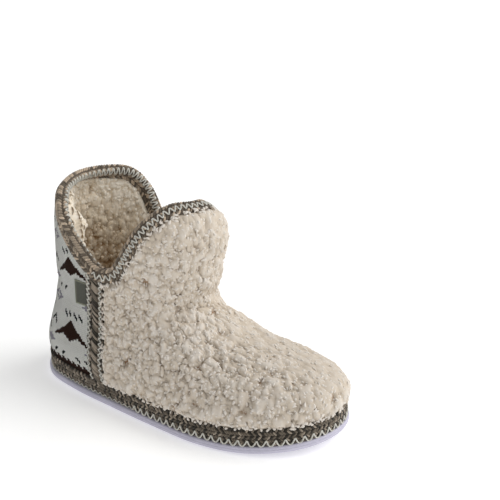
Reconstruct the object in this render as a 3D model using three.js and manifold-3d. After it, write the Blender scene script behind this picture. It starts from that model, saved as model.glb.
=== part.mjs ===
// Fleece slipper boot for the right foot: a curly fleece vamp and a knitted back panel on one
// hollow upper, zigzag braid over its side seams, round its foot and over its collar, a footbed,
// and a light rubber cup sole with a sunk tread. Millimetres, toe along +X, outer side along -Y,
// +Z up. The origin lies on the ground under the middle of the boot.
import * as THREE from "three";
import Module from "manifold-3d";

// Driving sizes of the sole
const outsoleLength = 256;
const ballWidth = 109;
const heelWidth = 88;
const outsoleThickness = 5.6;
const soleEdgeRadius = 3;
const soleDraft = 0.6; // how far the side leans in at the ground
const soleTopEdge = 1; // bevel of the upper edge
const toeSpring = 6.5;
const heelSpring = 1.2;
const springStart = 62; // ahead of the middle of the sole
const heelSpringLength = 25.6; // from the back of the heel
const treadRim = 8;
const treadDepth = 1.4;
const shankLength = 30;
const shankCentre = -42;
const shankSlant = 0.3; // mm along per mm across
const treadEnds = 12.5; // plain border at the heel and the toe

// Driving sizes of the upper
const featherInset = 4.2; // from the edge of the sole to the cloth
const heelBulge = 4;
const toeBulge = 1;
const ankleLength = 132;
const ankleWidth = 80;
const ankleCentre = -50;
const throatHeight = 75;
const heelNarrowHeight = 74;
const collarLength = 108;
const collarWidth = 94;
const collarCentre = -44;
const collarAside = 2; // of the boot's middle, to the inner side
const collarHeight = 153;
const notchHeight = 98;
const shaftBelly = 13;

// Cloth, pile and braid
const cloth = 2.5;
const vampPile = 5;
const liningPile = 4.2;
const pileSlope = 3;
const clearance = 0.3;
const braid = 2.5;
const footBandHeight = 12;
const seamBandWidth = 17.5;
const bindingWidth = 8;
const seamTopGap = 1.5; // from a seam band up to the binding
const insoleThickness = 6;
const insoleSlack = 0.6; // more room round the footbed
const insoleEdge = 2.5; // bevel of its upper edge
const insoleFoot = 1; // and of its lower edge
const tabWidth = 11;
const tabHeight = 17;
const tabThickness = 0.8;
const tabDrop = 10; // below the binding
const tabLift = 0.6; // off the cloth

// Mesh fineness and steps of the sums
const stationsPerSide = 10;
const seamStation = 5;
const profileSteps = 90;
const ringSteps = 400;
const curveDivisions = 600;
const lengthSteps = 12;
const backColumns = 12;
const vampColumns = 20;
const seamColumnGap = 0.7; // stations from a seam to the next even column
const middleRows = 15;
const rowCrowding = 1.25; // above 1 the upper's rows lie closer together near the sole
const soleColumns = 34;
const insoleColumns = 26;
const outlineColumns = 80;
const heelFieldSteps = 12;
const toeFieldSteps = 20;
const cornerSteps = 3;
const tabRows = 3;
const solverRounds = 10;
const stationStep = 0.05;
const shareStep = 0.015;
const mostStations = 0.3; // that one round of the solver moves
const mostShare = 0.1;

// Shape of the profiles
const toeStart = 7.5; // station from which the profile turns from the vamp's side to its toe
const toeApex = 0.1; // share of half the ball width, towards the inner side

// Rows with named columns.
function table(names, ...rows) {
  return rows.map((row) => Object.fromEntries(names.map((name, i) => [name, row[i]])));
}

// Outline of the sole: share of the length from the heel, and the half widths to the outer and
// the inner side as shares of half the width that the row follows.
const outlineRows = table(
  ["along", "outer", "inner", "of"],
  [0.028, 0.44, 0.46, heelWidth],
  [0.095, 0.81, 0.83, heelWidth],
  [0.21, 1.0, 1.0, heelWidth],
  [0.38, 1.12, 0.98, heelWidth],
  [0.56, 0.98, 0.87, ballWidth],
  [0.7, 1.0, 0.99, ballWidth],
  [0.84, 0.85, 0.95, ballWidth],
  [0.94, 0.55, 0.73, ballWidth],
  [0.985, 0.25, 0.43, ballWidth],
);

// Stations from the middle of the heel (row 0) to the middle of the toe (row 10) on either side.
// foot: share of the half outline. ankle: along and across the ankle ring. collar: along and
// across the collar ring. rise: height of the edge, 0 at the side notch and 1 at the top, and
// riseIn the same on the inner side, where the front lobe falls sooner.
// belly: how far the shaft swells outwards. front: 1 where the profile is a vamp.
const stationRows = table(
  ["foot", "ankleX", "ankleY", "collarX", "collarY", "rise", "riseIn", "belly", "front"],
  [0, -1, 0, -1, 0, 1, 1, 0.75, 0],
  [0.075, -0.9, 0.43, -0.895, 0.46, 0.985, 0.985, 0.5, 0],
  [0.145, -0.715, 0.735, -0.73, 0.79, 0.91, 0.91, 0.2, 0],
  [0.21, -0.5, 0.91, -0.565, 0.975, 0.67, 0.67, 0, 0],
  [0.275, -0.26, 0.98, -0.345, 0.965, 0.34, 0.34, 0, 0],
  [0.34, 0.02, 1, -0.07, 0.9, 0.05, 0.05, 0, 0.1],
  [0.46, 0.28, 0.98, 0.22, 0.88, 0.08, 0.04, 0, 0.5],
  [0.59, 0.55, 0.87, 0.48, 0.86, 0.45, 0.24, 0.1, 0.8],
  [0.72, 0.79, 0.66, 0.7, 0.76, 0.77, 0.5, 0.35, 1],
  [0.86, 0.94, 0.37, 0.9, 0.45, 0.95, 0.74, 0.75, 1],
  [1, 1, 0, 1, 0, 0.925, 0.925, 0.95, 1],
);
const oddColumns = ["foot", "ankleY", "collarY"]; // that change sign past the heel and the toe

// Profile from the sole to the ankle ring: rise is the share of its height, the others the share
// of its way in, for the toe, the sides of the vamp and the heel, and swell the share of the bulge.
const footRows = table(
  ["rise", "toe", "side", "heel", "swell"],
  [0, 0, 0, 0, 0],
  [0.13, 0, 0, 0.04, 0.1],
  [0.27, 0, 0.07, 0.12, 0.75],
  [0.4, 0.01, 0.2, 0.3, 1],
  [0.5, 0.12, 0.35, 0.48, 0.8],
  [0.57, 0.305, 0.465, 0.62, 0.65],
  [0.63, 0.505, 0.565, 0.74, 0.5],
  [0.76, 0.775, 0.755, 0.9, 0.2],
  [1, 1, 1, 1, 0],
);

// Profile from the ankle ring to the collar's edge: share of the way, and share of the belly.
const shaftRows = table(["way", "swell"], [0.25, 0.3], [0.5, 0.68], [0.75, 1], [0.9, 0.8], [1, 0]);

const wasm = await Module();
wasm.setup();

// Smooth value of one column of a table at a place between its rows.
function column(rows, name, place) {
  const last = rows.length - 1;
  const i = Math.min(Math.floor(place), last - 1);
  const t = place - i;
  const mirrored = (n) => rows[n < 0 ? -n : n > last ? 2 * last - n : n][name];
  const odd = oddColumns.includes(name);
  const before = i - 1 < 0 && odd ? 2 * rows[0][name] - mirrored(1) : mirrored(i - 1);
  const after = i + 2 > last && odd ? 2 * rows[last][name] - mirrored(last - 1) : mirrored(i + 2);
  const [a, b] = [rows[i][name], rows[i + 1][name]];
  const bend = 2 * before - 5 * a + 4 * b - after;
  const turn = 3 * (a - b) + after - before;
  return a + 0.5 * t * (b - before + t * (bend + t * turn));
}

function mix(a, b, t) {
  return a + (b - a) * t;
}

// Height by which the bent sole lifts off the ground at x.
function spring(x) {
  const toe = Math.max(0, x - springStart) / (outsoleLength / 2 - springStart);
  const heel = Math.max(0, heelSpringLength - outsoleLength / 2 - x) / heelSpringLength;
  return toeSpring * toe * toe + heelSpring * heel * heel;
}

function outlinePoint(along, width) {
  return new THREE.Vector3((along - 0.5) * outsoleLength, width / 2, 0);
}

// The outline's points, from the middle of the heel round the outer side to the toe and back.
const outlinePoints = [
  new THREE.Vector3(-outsoleLength / 2, 0, 0),
  ...outlineRows.map((r) => outlinePoint(r.along, -r.outer * r.of)),
  new THREE.Vector3(outsoleLength / 2, (toeApex * ballWidth) / 2, 0),
  ...outlineRows.map((r) => outlinePoint(r.along, r.inner * r.of)).reverse(),
];
const outlineCurve = new THREE.CatmullRomCurve3(outlinePoints, true, "centripetal");
outlineCurve.arcLengthDivisions = curveDivisions;
const outlineLengths = outlineCurve.getLengths();
const toeShare = outlineLengths[curveDivisions / 2] / outlineLengths[curveDivisions];

// Point and outward direction of the outline at a station, 0 to 10 outer side, 10 to 20 inner.
function outlineAt(station) {
  const outer = station <= stationsPerSide;
  const place = outer ? station : 2 * stationsPerSide - station;
  const share = column(stationRows, "foot", place);
  const turn = outer ? share * toeShare : 1 - share * (1 - toeShare);
  const t = THREE.MathUtils.euclideanModulo(turn, 1);
  const point = outlineCurve.getPointAt(t);
  const way = outlineCurve.getTangentAt(t);
  return { point, out: new THREE.Vector3(way.y, -way.x, 0).normalize() };
}

// The cloth's profile at a station, from its edge on the sole up to the collar.
function profileAt(station) {
  const outer = station <= stationsPerSide;
  const place = outer ? station : 2 * stationsPerSide - station;
  const side = outer ? -1 : 1;
  const at = (name) => column(stationRows, name, place);
  const { point, out } = outlineAt(station);
  const front = THREE.MathUtils.clamp(at("front"), 0, 1);
  const toward = THREE.MathUtils.smoothstep(place, toeStart, stationsPerSide);
  const foot = point.clone().addScaledVector(out, -featherInset);
  foot.z = outsoleThickness + clearance + spring(foot.x);
  const ankle = new THREE.Vector3(
    ankleCentre + (at("ankleX") * ankleLength) / 2,
    (side * at("ankleY") * ankleWidth) / 2,
    mix(heelNarrowHeight, throatHeight, THREE.MathUtils.smoothstep(place, 0, stationsPerSide)),
  );
  const collar = new THREE.Vector3(
    collarCentre + (at("collarX") * collarLength) / 2,
    collarAside + (side * at("collarY") * collarWidth) / 2,
    mix(notchHeight, collarHeight, at(outer ? "rise" : "riseIn")),
  );
  const bulge = mix(heelBulge, toeBulge, front);
  const points = footRows.map((r) => {
    const inward = mix(r.heel, mix(r.side, r.toe, toward), front);
    const p = foot.clone().lerp(ankle, inward);
    p.z = mix(foot.z, ankle.z, r.rise);
    return p.addScaledVector(out, r.swell * bulge);
  });
  const away = new THREE.Vector3(at("ankleX") * ankleLength, side * at("ankleY") * ankleWidth, 0);
  away.normalize();
  for (const r of shaftRows) {
    const p = ankle.clone().lerp(collar, r.way);
    points.push(p.addScaledVector(away, r.swell * at("belly") * shaftBelly));
  }
  const curve = new THREE.CatmullRomCurve3(points, false, "centripetal");
  curve.arcLengthDivisions = curveDivisions / 2;
  return curve.getSpacedPoints(profileSteps);
}

const ringStep = (2 * stationsPerSide) / ringSteps;
const profiles = Array.from({ length: ringSteps }, (_, i) => profileAt(i * ringStep));

// Point of the cloth's surface at a station and a share of its profile, 0 sole to 1 collar.
function onCloth(station, share) {
  const ring = THREE.MathUtils.euclideanModulo(station / ringStep, ringSteps);
  const step = THREE.MathUtils.clamp(share, 0, 1) * profileSteps;
  const [i, j] = [Math.floor(ring), Math.min(Math.floor(step), profileSteps - 1)];
  const row = (profile) => profile[j].clone().lerp(profile[j + 1], step - j);
  const p = row(profiles[i % ringSteps]).lerp(row(profiles[(i + 1) % ringSteps]), ring - i);
  if (share > 1) p.addScaledVector(upward(station, 1), (share - 1) * profileLength(station));
  return p;
}

function profileLength(station) {
  let length = 0;
  for (let n = 0; n < lengthSteps; n++) {
    length += onCloth(station, n / lengthSteps).distanceTo(onCloth(station, (n + 1) / lengthSteps));
  }
  return length;
}

// How the cloth's point moves with the share of the profile, and with the station.
function slopeUp(station, share) {
  const [a, b] = [Math.max(0, share - shareStep), Math.min(1, share + shareStep)];
  return onCloth(station, b).sub(onCloth(station, a)).divideScalar(b - a);
}

function slopeRound(station, share) {
  const ahead = onCloth(station + stationStep, share);
  return ahead.sub(onCloth(station - stationStep, share)).divideScalar(2 * stationStep);
}

// Direction along the cloth away from the sole.
function upward(station, share) {
  return slopeUp(station, share).normalize();
}

// Outward direction of the cloth.
function outward(station, share) {
  return slopeRound(station, share).cross(slopeUp(station, share)).normalize();
}

// The station beside another at the same share of the profile, a distance in mm further round.
function beside(station, share, mm) {
  const from = onCloth(station, share);
  let s = station;
  for (let n = 0; n < solverRounds; n++) {
    const gone = from.distanceTo(onCloth(s, share)) * Math.sign(s - station || mm);
    s += (mm - gone) / slopeRound(s, share).length();
  }
  return s;
}

// The place on the cloth nearest to a point, found from a first guess.
function nearest(guess, goal) {
  let { station, share } = guess;
  for (let n = 0; n < solverRounds; n++) {
    const miss = goal.clone().sub(onCloth(station, share));
    const [round, up] = [slopeRound(station, share), slopeUp(station, share)];
    const [a, b, c] = [round.dot(round), round.dot(up), up.dot(up)];
    const [p, q] = [round.dot(miss), up.dot(miss)];
    const det = a * c - b * b;
    station += THREE.MathUtils.clamp((c * p - b * q) / det, -mostStations, mostStations);
    share += THREE.MathUtils.clamp((a * q - b * p) / det, -mostShare, mostShare);
    share = THREE.MathUtils.clamp(share, 0, 1);
  }
  return { station, share };
}

// The place on the cloth at a distance in mm square to the collar's edge, below it.
function belowRim(station, distance) {
  const down = outward(station, 1).cross(slopeRound(station, 1)).normalize();
  if (down.dot(upward(station, 1)) > 0) down.negate();
  const guess = { station, share: 1 - distance / profileLength(station) };
  return nearest(guess, onCloth(station, 1).addScaledVector(down, distance));
}

// The cloth's point at a place, moved outwards by an offset.
function lifted(place, offset) {
  return onCloth(place.station, place.share).addScaledVector(outward(place.station, place.share), offset);
}

// The same at the cloth's lower edge, kept level with the top of the bent sole.
function liftedOnSole(station, offset) {
  const p = lifted({ station, share: 0 }, offset);
  p.z = outsoleThickness + clearance + spring(p.x);
  return p;
}

// A closed mesh from points and triangles, turned so that its faces point outwards.
function closedMesh(points, triangles) {
  let volume = 0;
  for (const [a, b, c] of triangles) {
    volume += points[a].dot(points[b].clone().cross(points[c]));
  }
  const index = triangles.flatMap(([a, b, c]) => (volume < 0 ? [a, c, b] : [a, b, c]));
  const values = points.flatMap((p) => p.toArray());
  const geometry = new THREE.BufferGeometry();
  geometry.setAttribute("position", new THREE.Float32BufferAttribute(values, 3));
  geometry.setIndex(index);
  return geometry;
}

// Skin over sections with equal numbers of points. A closed run joins the last section to the
// first; an open one is capped at both ends.
function skin(sections, closed, cap = fanCap) {
  const count = sections[0].length;
  const triangles = [];
  const runs = closed ? sections.length : sections.length - 1;
  for (let i = 0; i < runs; i++) {
    const [a, b] = [i * count, ((i + 1) % sections.length) * count];
    for (let j = 0; j < count; j++) {
      const k = (j + 1) % count;
      triangles.push([a + j, a + k, b + k], [a + j, b + k, b + j]);
    }
  }
  if (!closed) {
    const end = (sections.length - 1) * count;
    for (const [a, b, c] of cap(count)) triangles.push([a, c, b], [end + a, end + b, end + c]);
  }
  return closedMesh(sections.flat(), triangles);
}

function fanCap(count) {
  return Array.from({ length: count - 2 }, (_, i) => [0, i + 1, i + 2]);
}

// Cap of an outline in strips from side to side, so that it bends with the sole.
function stripCap(count) {
  const made = [];
  for (let i = 0; i < count / 2; i++) {
    const [a, b] = [i, i + 1];
    const [c, d] = [(count - i) % count, count - i - 1];
    if (a !== c) made.push([a, b, c]);
    if (b !== d) made.push([b, d, c]);
  }
  return made;
}

function solidOf(geometry) {
  return new wasm.Manifold(
    new wasm.Mesh({
      numProp: 3,
      vertProperties: new Float32Array(geometry.attributes.position.array),
      triVerts: new Uint32Array(geometry.index.array),
    }),
  );
}

function geometryOf(solid) {
  const mesh = solid.getMesh();
  const geometry = new THREE.BufferGeometry();
  geometry.setAttribute("position", new THREE.BufferAttribute(mesh.vertProperties, 3));
  geometry.setIndex(new THREE.BufferAttribute(mesh.triVerts, 1));
  return geometry;
}

// Even stations round the boot, the same on both sides, with both middles.
function evenStations(perSide) {
  return Array.from({ length: perSide * 2 }, (_, i) => (i * stationsPerSide) / perSide);
}

// Ring of the sole's outline moved inwards, at a height above its bent underside.
function soleRing(stations, inset, height) {
  return stations.map((s) => {
    const { point, out } = outlineAt(s);
    const p = point.clone().addScaledVector(out, -inset);
    p.z = height + spring(p.x);
    return p;
  });
}

// The sunk tread field between two lines across the sole, as a solid to cut away.
function treadField(from, to, steps) {
  const half = (outer, x) => {
    const edge = evenStations(outlineColumns)
      .map((s) => outlineAt(s).point)
      .filter((p) => p.y < 0 === outer)
      .sort((a, b) => a.x - b.x);
    const i = Math.max(1, edge.findIndex((p) => p.x >= x));
    const t = (x - edge[i - 1].x) / (edge[i].x - edge[i - 1].x);
    return mix(edge[i - 1].y, edge[i].y, t);
  };
  const sections = [];
  for (let n = 0; n <= steps; n++) {
    const t = n / steps;
    const centre = mix(from.x, to.x, t);
    const slant = mix(from.slant, to.slant, t);
    const corner = (outer) => {
      let y = 0;
      for (let k = 0; k < solverRounds; k++) {
        y = half(outer, centre + slant * y) + (outer ? treadRim : -treadRim);
      }
      return new THREE.Vector3(centre + slant * y, y, 0);
    };
    const [a, b] = [corner(true), corner(false)];
    const at = (p, z) => new THREE.Vector3(p.x, p.y, z + spring(p.x));
    const [low, high] = [-treadDepth, treadDepth];
    sections.push([at(a, low), at(b, low), at(b, high), at(a, high)]);
  }
  return skin(sections, false);
}

function makeOutsole() {
  const stations = evenStations(soleColumns);
  const cornerRing = (turn) => {
    const inset = soleEdgeRadius * (1 - Math.sin(turn)) + soleDraft * Math.cos(turn);
    return soleRing(stations, inset, soleEdgeRadius * (1 - Math.cos(turn)));
  };
  const corner = Array.from({ length: cornerSteps + 1 }, (_, i) => (i * Math.PI) / 2 / cornerSteps);
  const rings = [
    ...corner.map(cornerRing),
    soleRing(stations, 0, outsoleThickness - soleTopEdge),
    soleRing(stations, soleTopEdge, outsoleThickness),
  ];
  let sole = solidOf(skin(rings, false, stripCap));
  const [heelEnd, toeEnd] = [treadEnds - outsoleLength / 2, outsoleLength / 2 - treadEnds];
  const shank = (way) => ({ x: shankCentre + (way * shankLength) / 2, slant: shankSlant });
  for (const field of [
    treadField({ x: heelEnd, slant: 0 }, shank(-1), heelFieldSteps),
    treadField(shank(1), { x: toeEnd, slant: 0 }, toeFieldSteps),
  ]) {
    sole = sole.subtract(solidOf(field));
  }
  return geometryOf(sole);
}

function makeInsole() {
  const stations = evenStations(insoleColumns);
  const inset = featherInset + cloth + liningPile + clearance + insoleSlack;
  const base = outsoleThickness + clearance;
  return skin(
    [
      soleRing(stations, inset + insoleFoot, base),
      soleRing(stations, inset, base + insoleFoot),
      soleRing(stations, inset, base + insoleThickness - insoleEdge),
      soleRing(stations, inset + insoleEdge, base + insoleThickness),
    ],
    false,
    stripCap,
  );
}

// Columns of the upper round the boot. Those at the side seams keep their distance from the seam
// in mm, the others keep their station; pile is 1 where the column is fleece.
function upperColumns() {
  const half = seamBandWidth / 2;
  const backStep = (seamStation - seamColumnGap) / (backColumns - 1);
  const vampStart = seamStation + seamColumnGap;
  const vampStep = (stationsPerSide - vampStart) / (vampColumns - 1);
  const outerSide = [
    ...Array.from({ length: backColumns }, (_, i) => ({ station: i * backStep, pile: 0 })),
    { station: seamStation, mm: -half, pile: 0 },
    { station: seamStation, mm: 0, pile: 0 },
    { station: seamStation, mm: half, pile: 0 },
    { station: seamStation, mm: half + pileSlope, pile: 1 },
    ...Array.from({ length: vampColumns }, (_, i) => ({ station: vampStart + i * vampStep, pile: 1 })),
  ];
  const mirrored = ({ station, mm, pile }) => ({
    station: 2 * stationsPerSide - station,
    mm: mm === undefined ? undefined : -mm,
    pile,
  });
  return [...outerSide, ...outerSide.slice(1, -1).reverse().map(mirrored)];
}

// A column's places on the cloth, from the sole up to the collar's edge.
function columnPlaces({ station, mm }) {
  const at = (share) => ({ station: mm ? beside(station, share, mm) : station, share });
  const length = profileLength(station);
  const bottom = [0, footBandHeight, footBandHeight + pileSlope].map((h) => at(h / length));
  const rim = at(1);
  const top = [bindingWidth + pileSlope, bindingWidth].map((depth) => belowRim(rim.station, depth));
  const end = mm === undefined ? top[0] : belowRim(station, bindingWidth + pileSlope);
  const between = Array.from({ length: middleRows }, (_, i) => {
    const t = ((i + 1) / (middleRows + 1)) ** rowCrowding;
    const share = mix(bottom[2].share, end.share, t);
    return mm === undefined ? { station: mix(station, end.station, t), share } : at(share);
  });
  return [...bottom, ...between, ...top, rim];
}

const columns = upperColumns().map((c) => ({ ...c, places: columnPlaces(c) }));

function makeUpper() {
  const sections = columns.map(({ pile, places }) => {
    const last = places.length - 1;
    const piled = (i) => i >= 2 && i <= last - 2;
    const at = (p, i, offset) => (i === 0 ? liftedOnSole(p.station, offset) : lifted(p, offset));
    const outer = places.map((p, i) => at(p, i, piled(i) ? pile * vampPile : 0));
    const inner = places.map((p, i) => at(p, i, i > last - 2 ? -cloth : -cloth - liningPile));
    return [...outer, ...inner.reverse()];
  });
  return skin(sections, true);
}

function makeFootBand() {
  const sections = columns.map(({ places }) => {
    const s = places[0].station;
    const share = (places[1].share * (footBandHeight - clearance)) / footBandHeight;
    const high = { ...places[1], share };
    return [
      lifted(high, clearance),
      lifted(high, clearance + braid),
      liftedOnSole(s, clearance + braid),
      liftedOnSole(s, clearance),
    ];
  });
  return skin(sections, true);
}

function makeCollarBinding() {
  const out = clearance;
  const inn = -cloth - clearance;
  const crown = clearance + braid;
  const width = bindingWidth - clearance;
  const sections = columns.map(({ places }) => {
    const edge = places[places.length - 1];
    const full = places[places.length - 2];
    const low = {
      station: mix(edge.station, full.station, width / bindingWidth),
      share: mix(edge.share, full.share, width / bindingWidth),
    };
    const up = onCloth(edge.station, 1).sub(onCloth(low.station, low.share)).normalize();
    const top = (offset, height) => lifted(edge, offset).addScaledVector(up, height);
    return [
      lifted(low, out),
      lifted(low, out + braid),
      top(out + braid, 0),
      top(out + braid / 3, crown),
      top(inn - braid / 3, crown),
      top(inn - braid, 0),
      lifted(low, inn - braid),
      lifted(low, inn),
      top(inn, clearance),
      top(out, clearance),
    ].reverse();
  });
  return skin(sections, true);
}

// Share of the profile at a station where the binding's lower edge runs.
function shareUnderBinding(station) {
  const edge = columns.map(({ places }) => places[places.length - 2]);
  const i = edge.findIndex((p) => p.station > station);
  const [a, b] = [edge[i - 1], edge[i]];
  return mix(a.share, b.share, (station - a.station) / (b.station - a.station));
}

function makeSeamBand(seam) {
  const half = seamBandWidth / 2;
  const length = profileLength(seam);
  const near = columns.filter((c) => c.station === seam && Math.abs(c.mm) <= half);
  const onSeam = near.map((c) => c.places);
  const centre = onSeam[1];
  const rows = centre.slice(1, -3).map((middle, i) =>
    onSeam.map((places) => ({
      station: mix(places[i + 1].station, middle.station, clearance / half),
      share: middle.share,
    })),
  );
  const share = (station) => shareUnderBinding(station) - seamTopGap / length;
  rows.push(rows[rows.length - 1].map(({ station }) => ({ station, share: share(station) })));
  const sections = rows.map((across) => [
    ...across.map((p) => lifted(p, clearance)),
    ...across.reverse().map((p) => lifted(p, clearance + braid)),
  ]);
  return skin(sections, false);
}

// A stiff cloth tab that stands straight out from under the back edge of the outer seam band.
function makeSideTab() {
  const top = belowRim(seamStation, bindingWidth + tabDrop).share;
  const bottom = top - tabHeight / profileLength(seamStation);
  const sections = [];
  for (let i = 0; i <= tabRows; i++) {
    const share = mix(bottom, top, i / tabRows);
    const station = beside(seamStation, share, -seamBandWidth / 2 - clearance);
    const root = lifted({ station, share }, tabLift);
    const out = outward(station, share);
    const back = upward(station, share).cross(out).multiplyScalar(-tabWidth);
    out.multiplyScalar(tabThickness);
    const tip = root.clone().add(back);
    sections.push([root, tip, tip.clone().add(out), root.clone().add(out)]);
  }
  return skin(sections, false);
}

const finishes = {
  sole: new THREE.MeshStandardMaterial({ color: 0xb9b4c4, roughness: 0.6, metalness: 0 }),
  fleece: new THREE.MeshStandardMaterial({ color: 0xd6cbbb, roughness: 1, metalness: 0 }),
  braid: new THREE.MeshStandardMaterial({ color: 0x8a8070, roughness: 0.95, metalness: 0 }),
  tab: new THREE.MeshStandardMaterial({ color: 0x4c5040, roughness: 0.9, metalness: 0 }),
};

function piece(name, geometry, finish) {
  const mesh = new THREE.Mesh(geometry, finish);
  mesh.name = name;
  return mesh;
}

const boot = new THREE.Group();
boot.add(
  piece("outsole", makeOutsole(), finishes.sole),
  piece("insole", makeInsole(), finishes.fleece),
  piece("upper", makeUpper(), finishes.fleece),
  piece("foot_band", makeFootBand(), finishes.braid),
  piece("collar_binding", makeCollarBinding(), finishes.braid),
  piece("seam_band_outer", makeSeamBand(seamStation), finishes.braid),
  piece("seam_band_inner", makeSeamBand(2 * stationsPerSide - seamStation), finishes.braid),
  piece("side_tab", makeSideTab(), finishes.tab),
);

// The origin goes to the middle of the boot's footprint, on the ground.
const reach = new THREE.Box3().setFromObject(boot);
const middle = reach.getCenter(new THREE.Vector3());
boot.position.set(-middle.x, -middle.y, -reach.min.z);

export default boot;
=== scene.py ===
import functools
import itertools
import math
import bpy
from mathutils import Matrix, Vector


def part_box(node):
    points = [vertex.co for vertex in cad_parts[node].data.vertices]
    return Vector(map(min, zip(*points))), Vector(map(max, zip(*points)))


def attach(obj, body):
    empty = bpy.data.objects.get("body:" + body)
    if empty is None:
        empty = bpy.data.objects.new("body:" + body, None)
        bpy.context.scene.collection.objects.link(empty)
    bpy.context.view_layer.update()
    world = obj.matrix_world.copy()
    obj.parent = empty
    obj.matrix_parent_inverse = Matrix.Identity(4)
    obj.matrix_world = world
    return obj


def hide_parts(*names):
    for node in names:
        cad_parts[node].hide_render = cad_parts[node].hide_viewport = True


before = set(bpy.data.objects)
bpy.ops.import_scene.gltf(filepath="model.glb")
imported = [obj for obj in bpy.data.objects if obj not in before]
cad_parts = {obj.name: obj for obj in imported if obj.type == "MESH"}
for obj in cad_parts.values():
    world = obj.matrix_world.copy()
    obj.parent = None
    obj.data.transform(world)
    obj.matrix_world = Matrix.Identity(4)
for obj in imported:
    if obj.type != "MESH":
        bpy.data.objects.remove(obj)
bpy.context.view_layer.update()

from types import SimpleNamespace

import bpy
import numpy as np
from bpy.props import FloatProperty, FloatVectorProperty, PointerProperty
from mathutils import Matrix, Vector

bl_info = {
    "name": "Fleece slipper boot",
    "version": (1, 0, 0),
    "blender": (4, 5, 0),
    "location": "3D View > Sidebar > Boot",
    "description": "Curly fleece vamp, knitted back, braids, lining and rubber sole on the boot's frame",
    "category": "Object",
}

MM = 0.001
SOLE_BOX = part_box("outsole")

# Stations run round the boot: 0 the heel, 5 the outer seam, 10 the toe, 15 the inner seam, 20 the heel.
# Shares run up the cloth: 0 at the sole, 1 at the collar's edge.
TURN = 20
TOE = 10
OUTER_SEAM = 5
INNER_SEAM = 15
RING = 480  # stations of the form's own grid
STEPS = 120  # and its steps up the cloth

# Fineness of the meshes
VAMP_GRID = (330, 115)
LINING_GRID = (250, 130, 100)  # round the back, round the front and up
KNIT_FINE = 2  # for each stitch, each way
SCATTER_TRIES = 90000
BAND_GRID = (720, 7)
SEAM_GRID = (90, 9)
WAVE_POINTS = 14  # of a stitching thread, for each wave
BINDING_GRID = (800, 6, 9)  # round, down each side and over the crown
FOOTBED_GRID = (190, 60)
SOLE_GRID = (340, 160)
TAB_GRID = (28, 14, 9)  # up, along each half and round the fold
LID_COLUMNS = 12
FLOOR_POINTS = 24  # each way

# Cloth of the tab
TAB_CLOTH = 0.45 * MM
TAB_RIPPLE = 0.1 * MM

# How far pieces reach under, into or over their neighbours
TUCK = 1.5 * MM  # cloth under a seam band
HAIR = 0.1 * MM  # off the surface below
VAMP_SPILL = 1.6 * MM  # loose locks over the braids
SEAM_SPILL = 1.2 * MM  # more of them over a seam band
VAMP_SPREAD = (-1.2 * MM, 3.0 * MM)  # over which the pile rises from its edge
VAMP_LOCK_SPREAD = (-4.5 * MM, 2.0 * MM)
LINING_SPREAD = (-1.5 * MM, 3.0 * MM)  # the same for the lining
LINING_LOCK_SPREAD = (-3.0 * MM, 3.0 * MM)

# Height of a fleece over its cloth as shares of the pile: its floor, what clumps and curls add,
# what partings take away, and how much clumps, curls and slow waves differ.
PILE_FLOOR, CLUMP_RISE, CURL_RISE, PARTING_CUT = 0.28, 0.34, 0.22, 0.16
CLUMP_LUCK, CURL_LUCK, WAVE_RISE = 0.2, 0.1, 0.05
COMBED_HEIGHT, COMBED_RISE = 0.6, 0.3  # where combed pile lies, and what it keeps of the rise

VAMP_TALL, VAMP_LOCK_TALL, LINING_TALL = 1.2, 1.25, 1.15  # how tall each fleece is, in piles
LOCK_SUNK, LINING_LOCK_SUNK = 0.25, 0.3  # depth of the locks in it, in their widths
LINING_LOCK_LONG, LINING_LOCK_WIDE = 1.4, 1.45  # lining's locks beside the vamp's
# Combing of the vamp: how much over the toe and at the lip, and the stations where the toe's
# begins, is full, fades and ends.
VAMP_COMBING = (0.7, 0.45, 9.0, 10.4, 11.2, 12.8)
LOCK_COMBING = (0.45, 0.25, 8.8, 10.2, 11.4, 13.0)

# Height of the knit over its cloth in millimetres: everywhere, on a rib, on a loop, in slow waves
KNIT_LIFT, RIB_RISE, LOOP_RISE, KNIT_WAVE = 0.05, 0.5, 0.14, 0.35
BAND_LIFT, SEAM_LIFT = 0.55, 0.5  # height of a braid's ground over the cloth, in braids

# Sole and footbed
RIB_HEIGHT = 0.85  # of the tread's ribs, in tread depths
LINE_DEPTH = 0.25 * MM  # of the line inside the plain band
LINE_INSET = 2.2 * MM  # from the band's edge
CORNER_STEP = 18  # degrees
FOOTBED_GAP = 1.2 * MM  # from the wall
FOOTBED_RIM = 5 * MM  # over which it gets thinner
CURL_ROOM = 1.6 * MM  # left for its curls

# Seeds of the random draws; the locks have one for their places and one for their shapes
VAMP_SEED, LINING_SEED, FOOTBED_SEED, KNIT_SEED = 11, 31, 51, 3
VAMP_LOCK_SEEDS, LINING_LOCK_SEEDS = (71, 73), (91, 93)
FOOT_SEED, OUTER_SEED, INNER_SEED, COLLAR_SEED = 5, 7, 8, 9

# Light and floor
FLOOR_HALF = 14.0  # metres
FLOOR_GLOW = 0.36  # light of its own, so that it prints as pale paper
SKY_LIGHT = 0.45
SUN_LIGHT = 1.9
SUN_WIDTH = math.radians(60)
SUN_WAY = (0.95, 0.05, 0.85)  # to the camera's right, ahead and up
SENSOR = 36  # width of the camera's film in millimetres


def table(names, *rows):
    """A table with named columns, one array for each."""
    return {name: np.array([row[i] for row in rows], float) for i, name in enumerate(names.split())}


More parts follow.
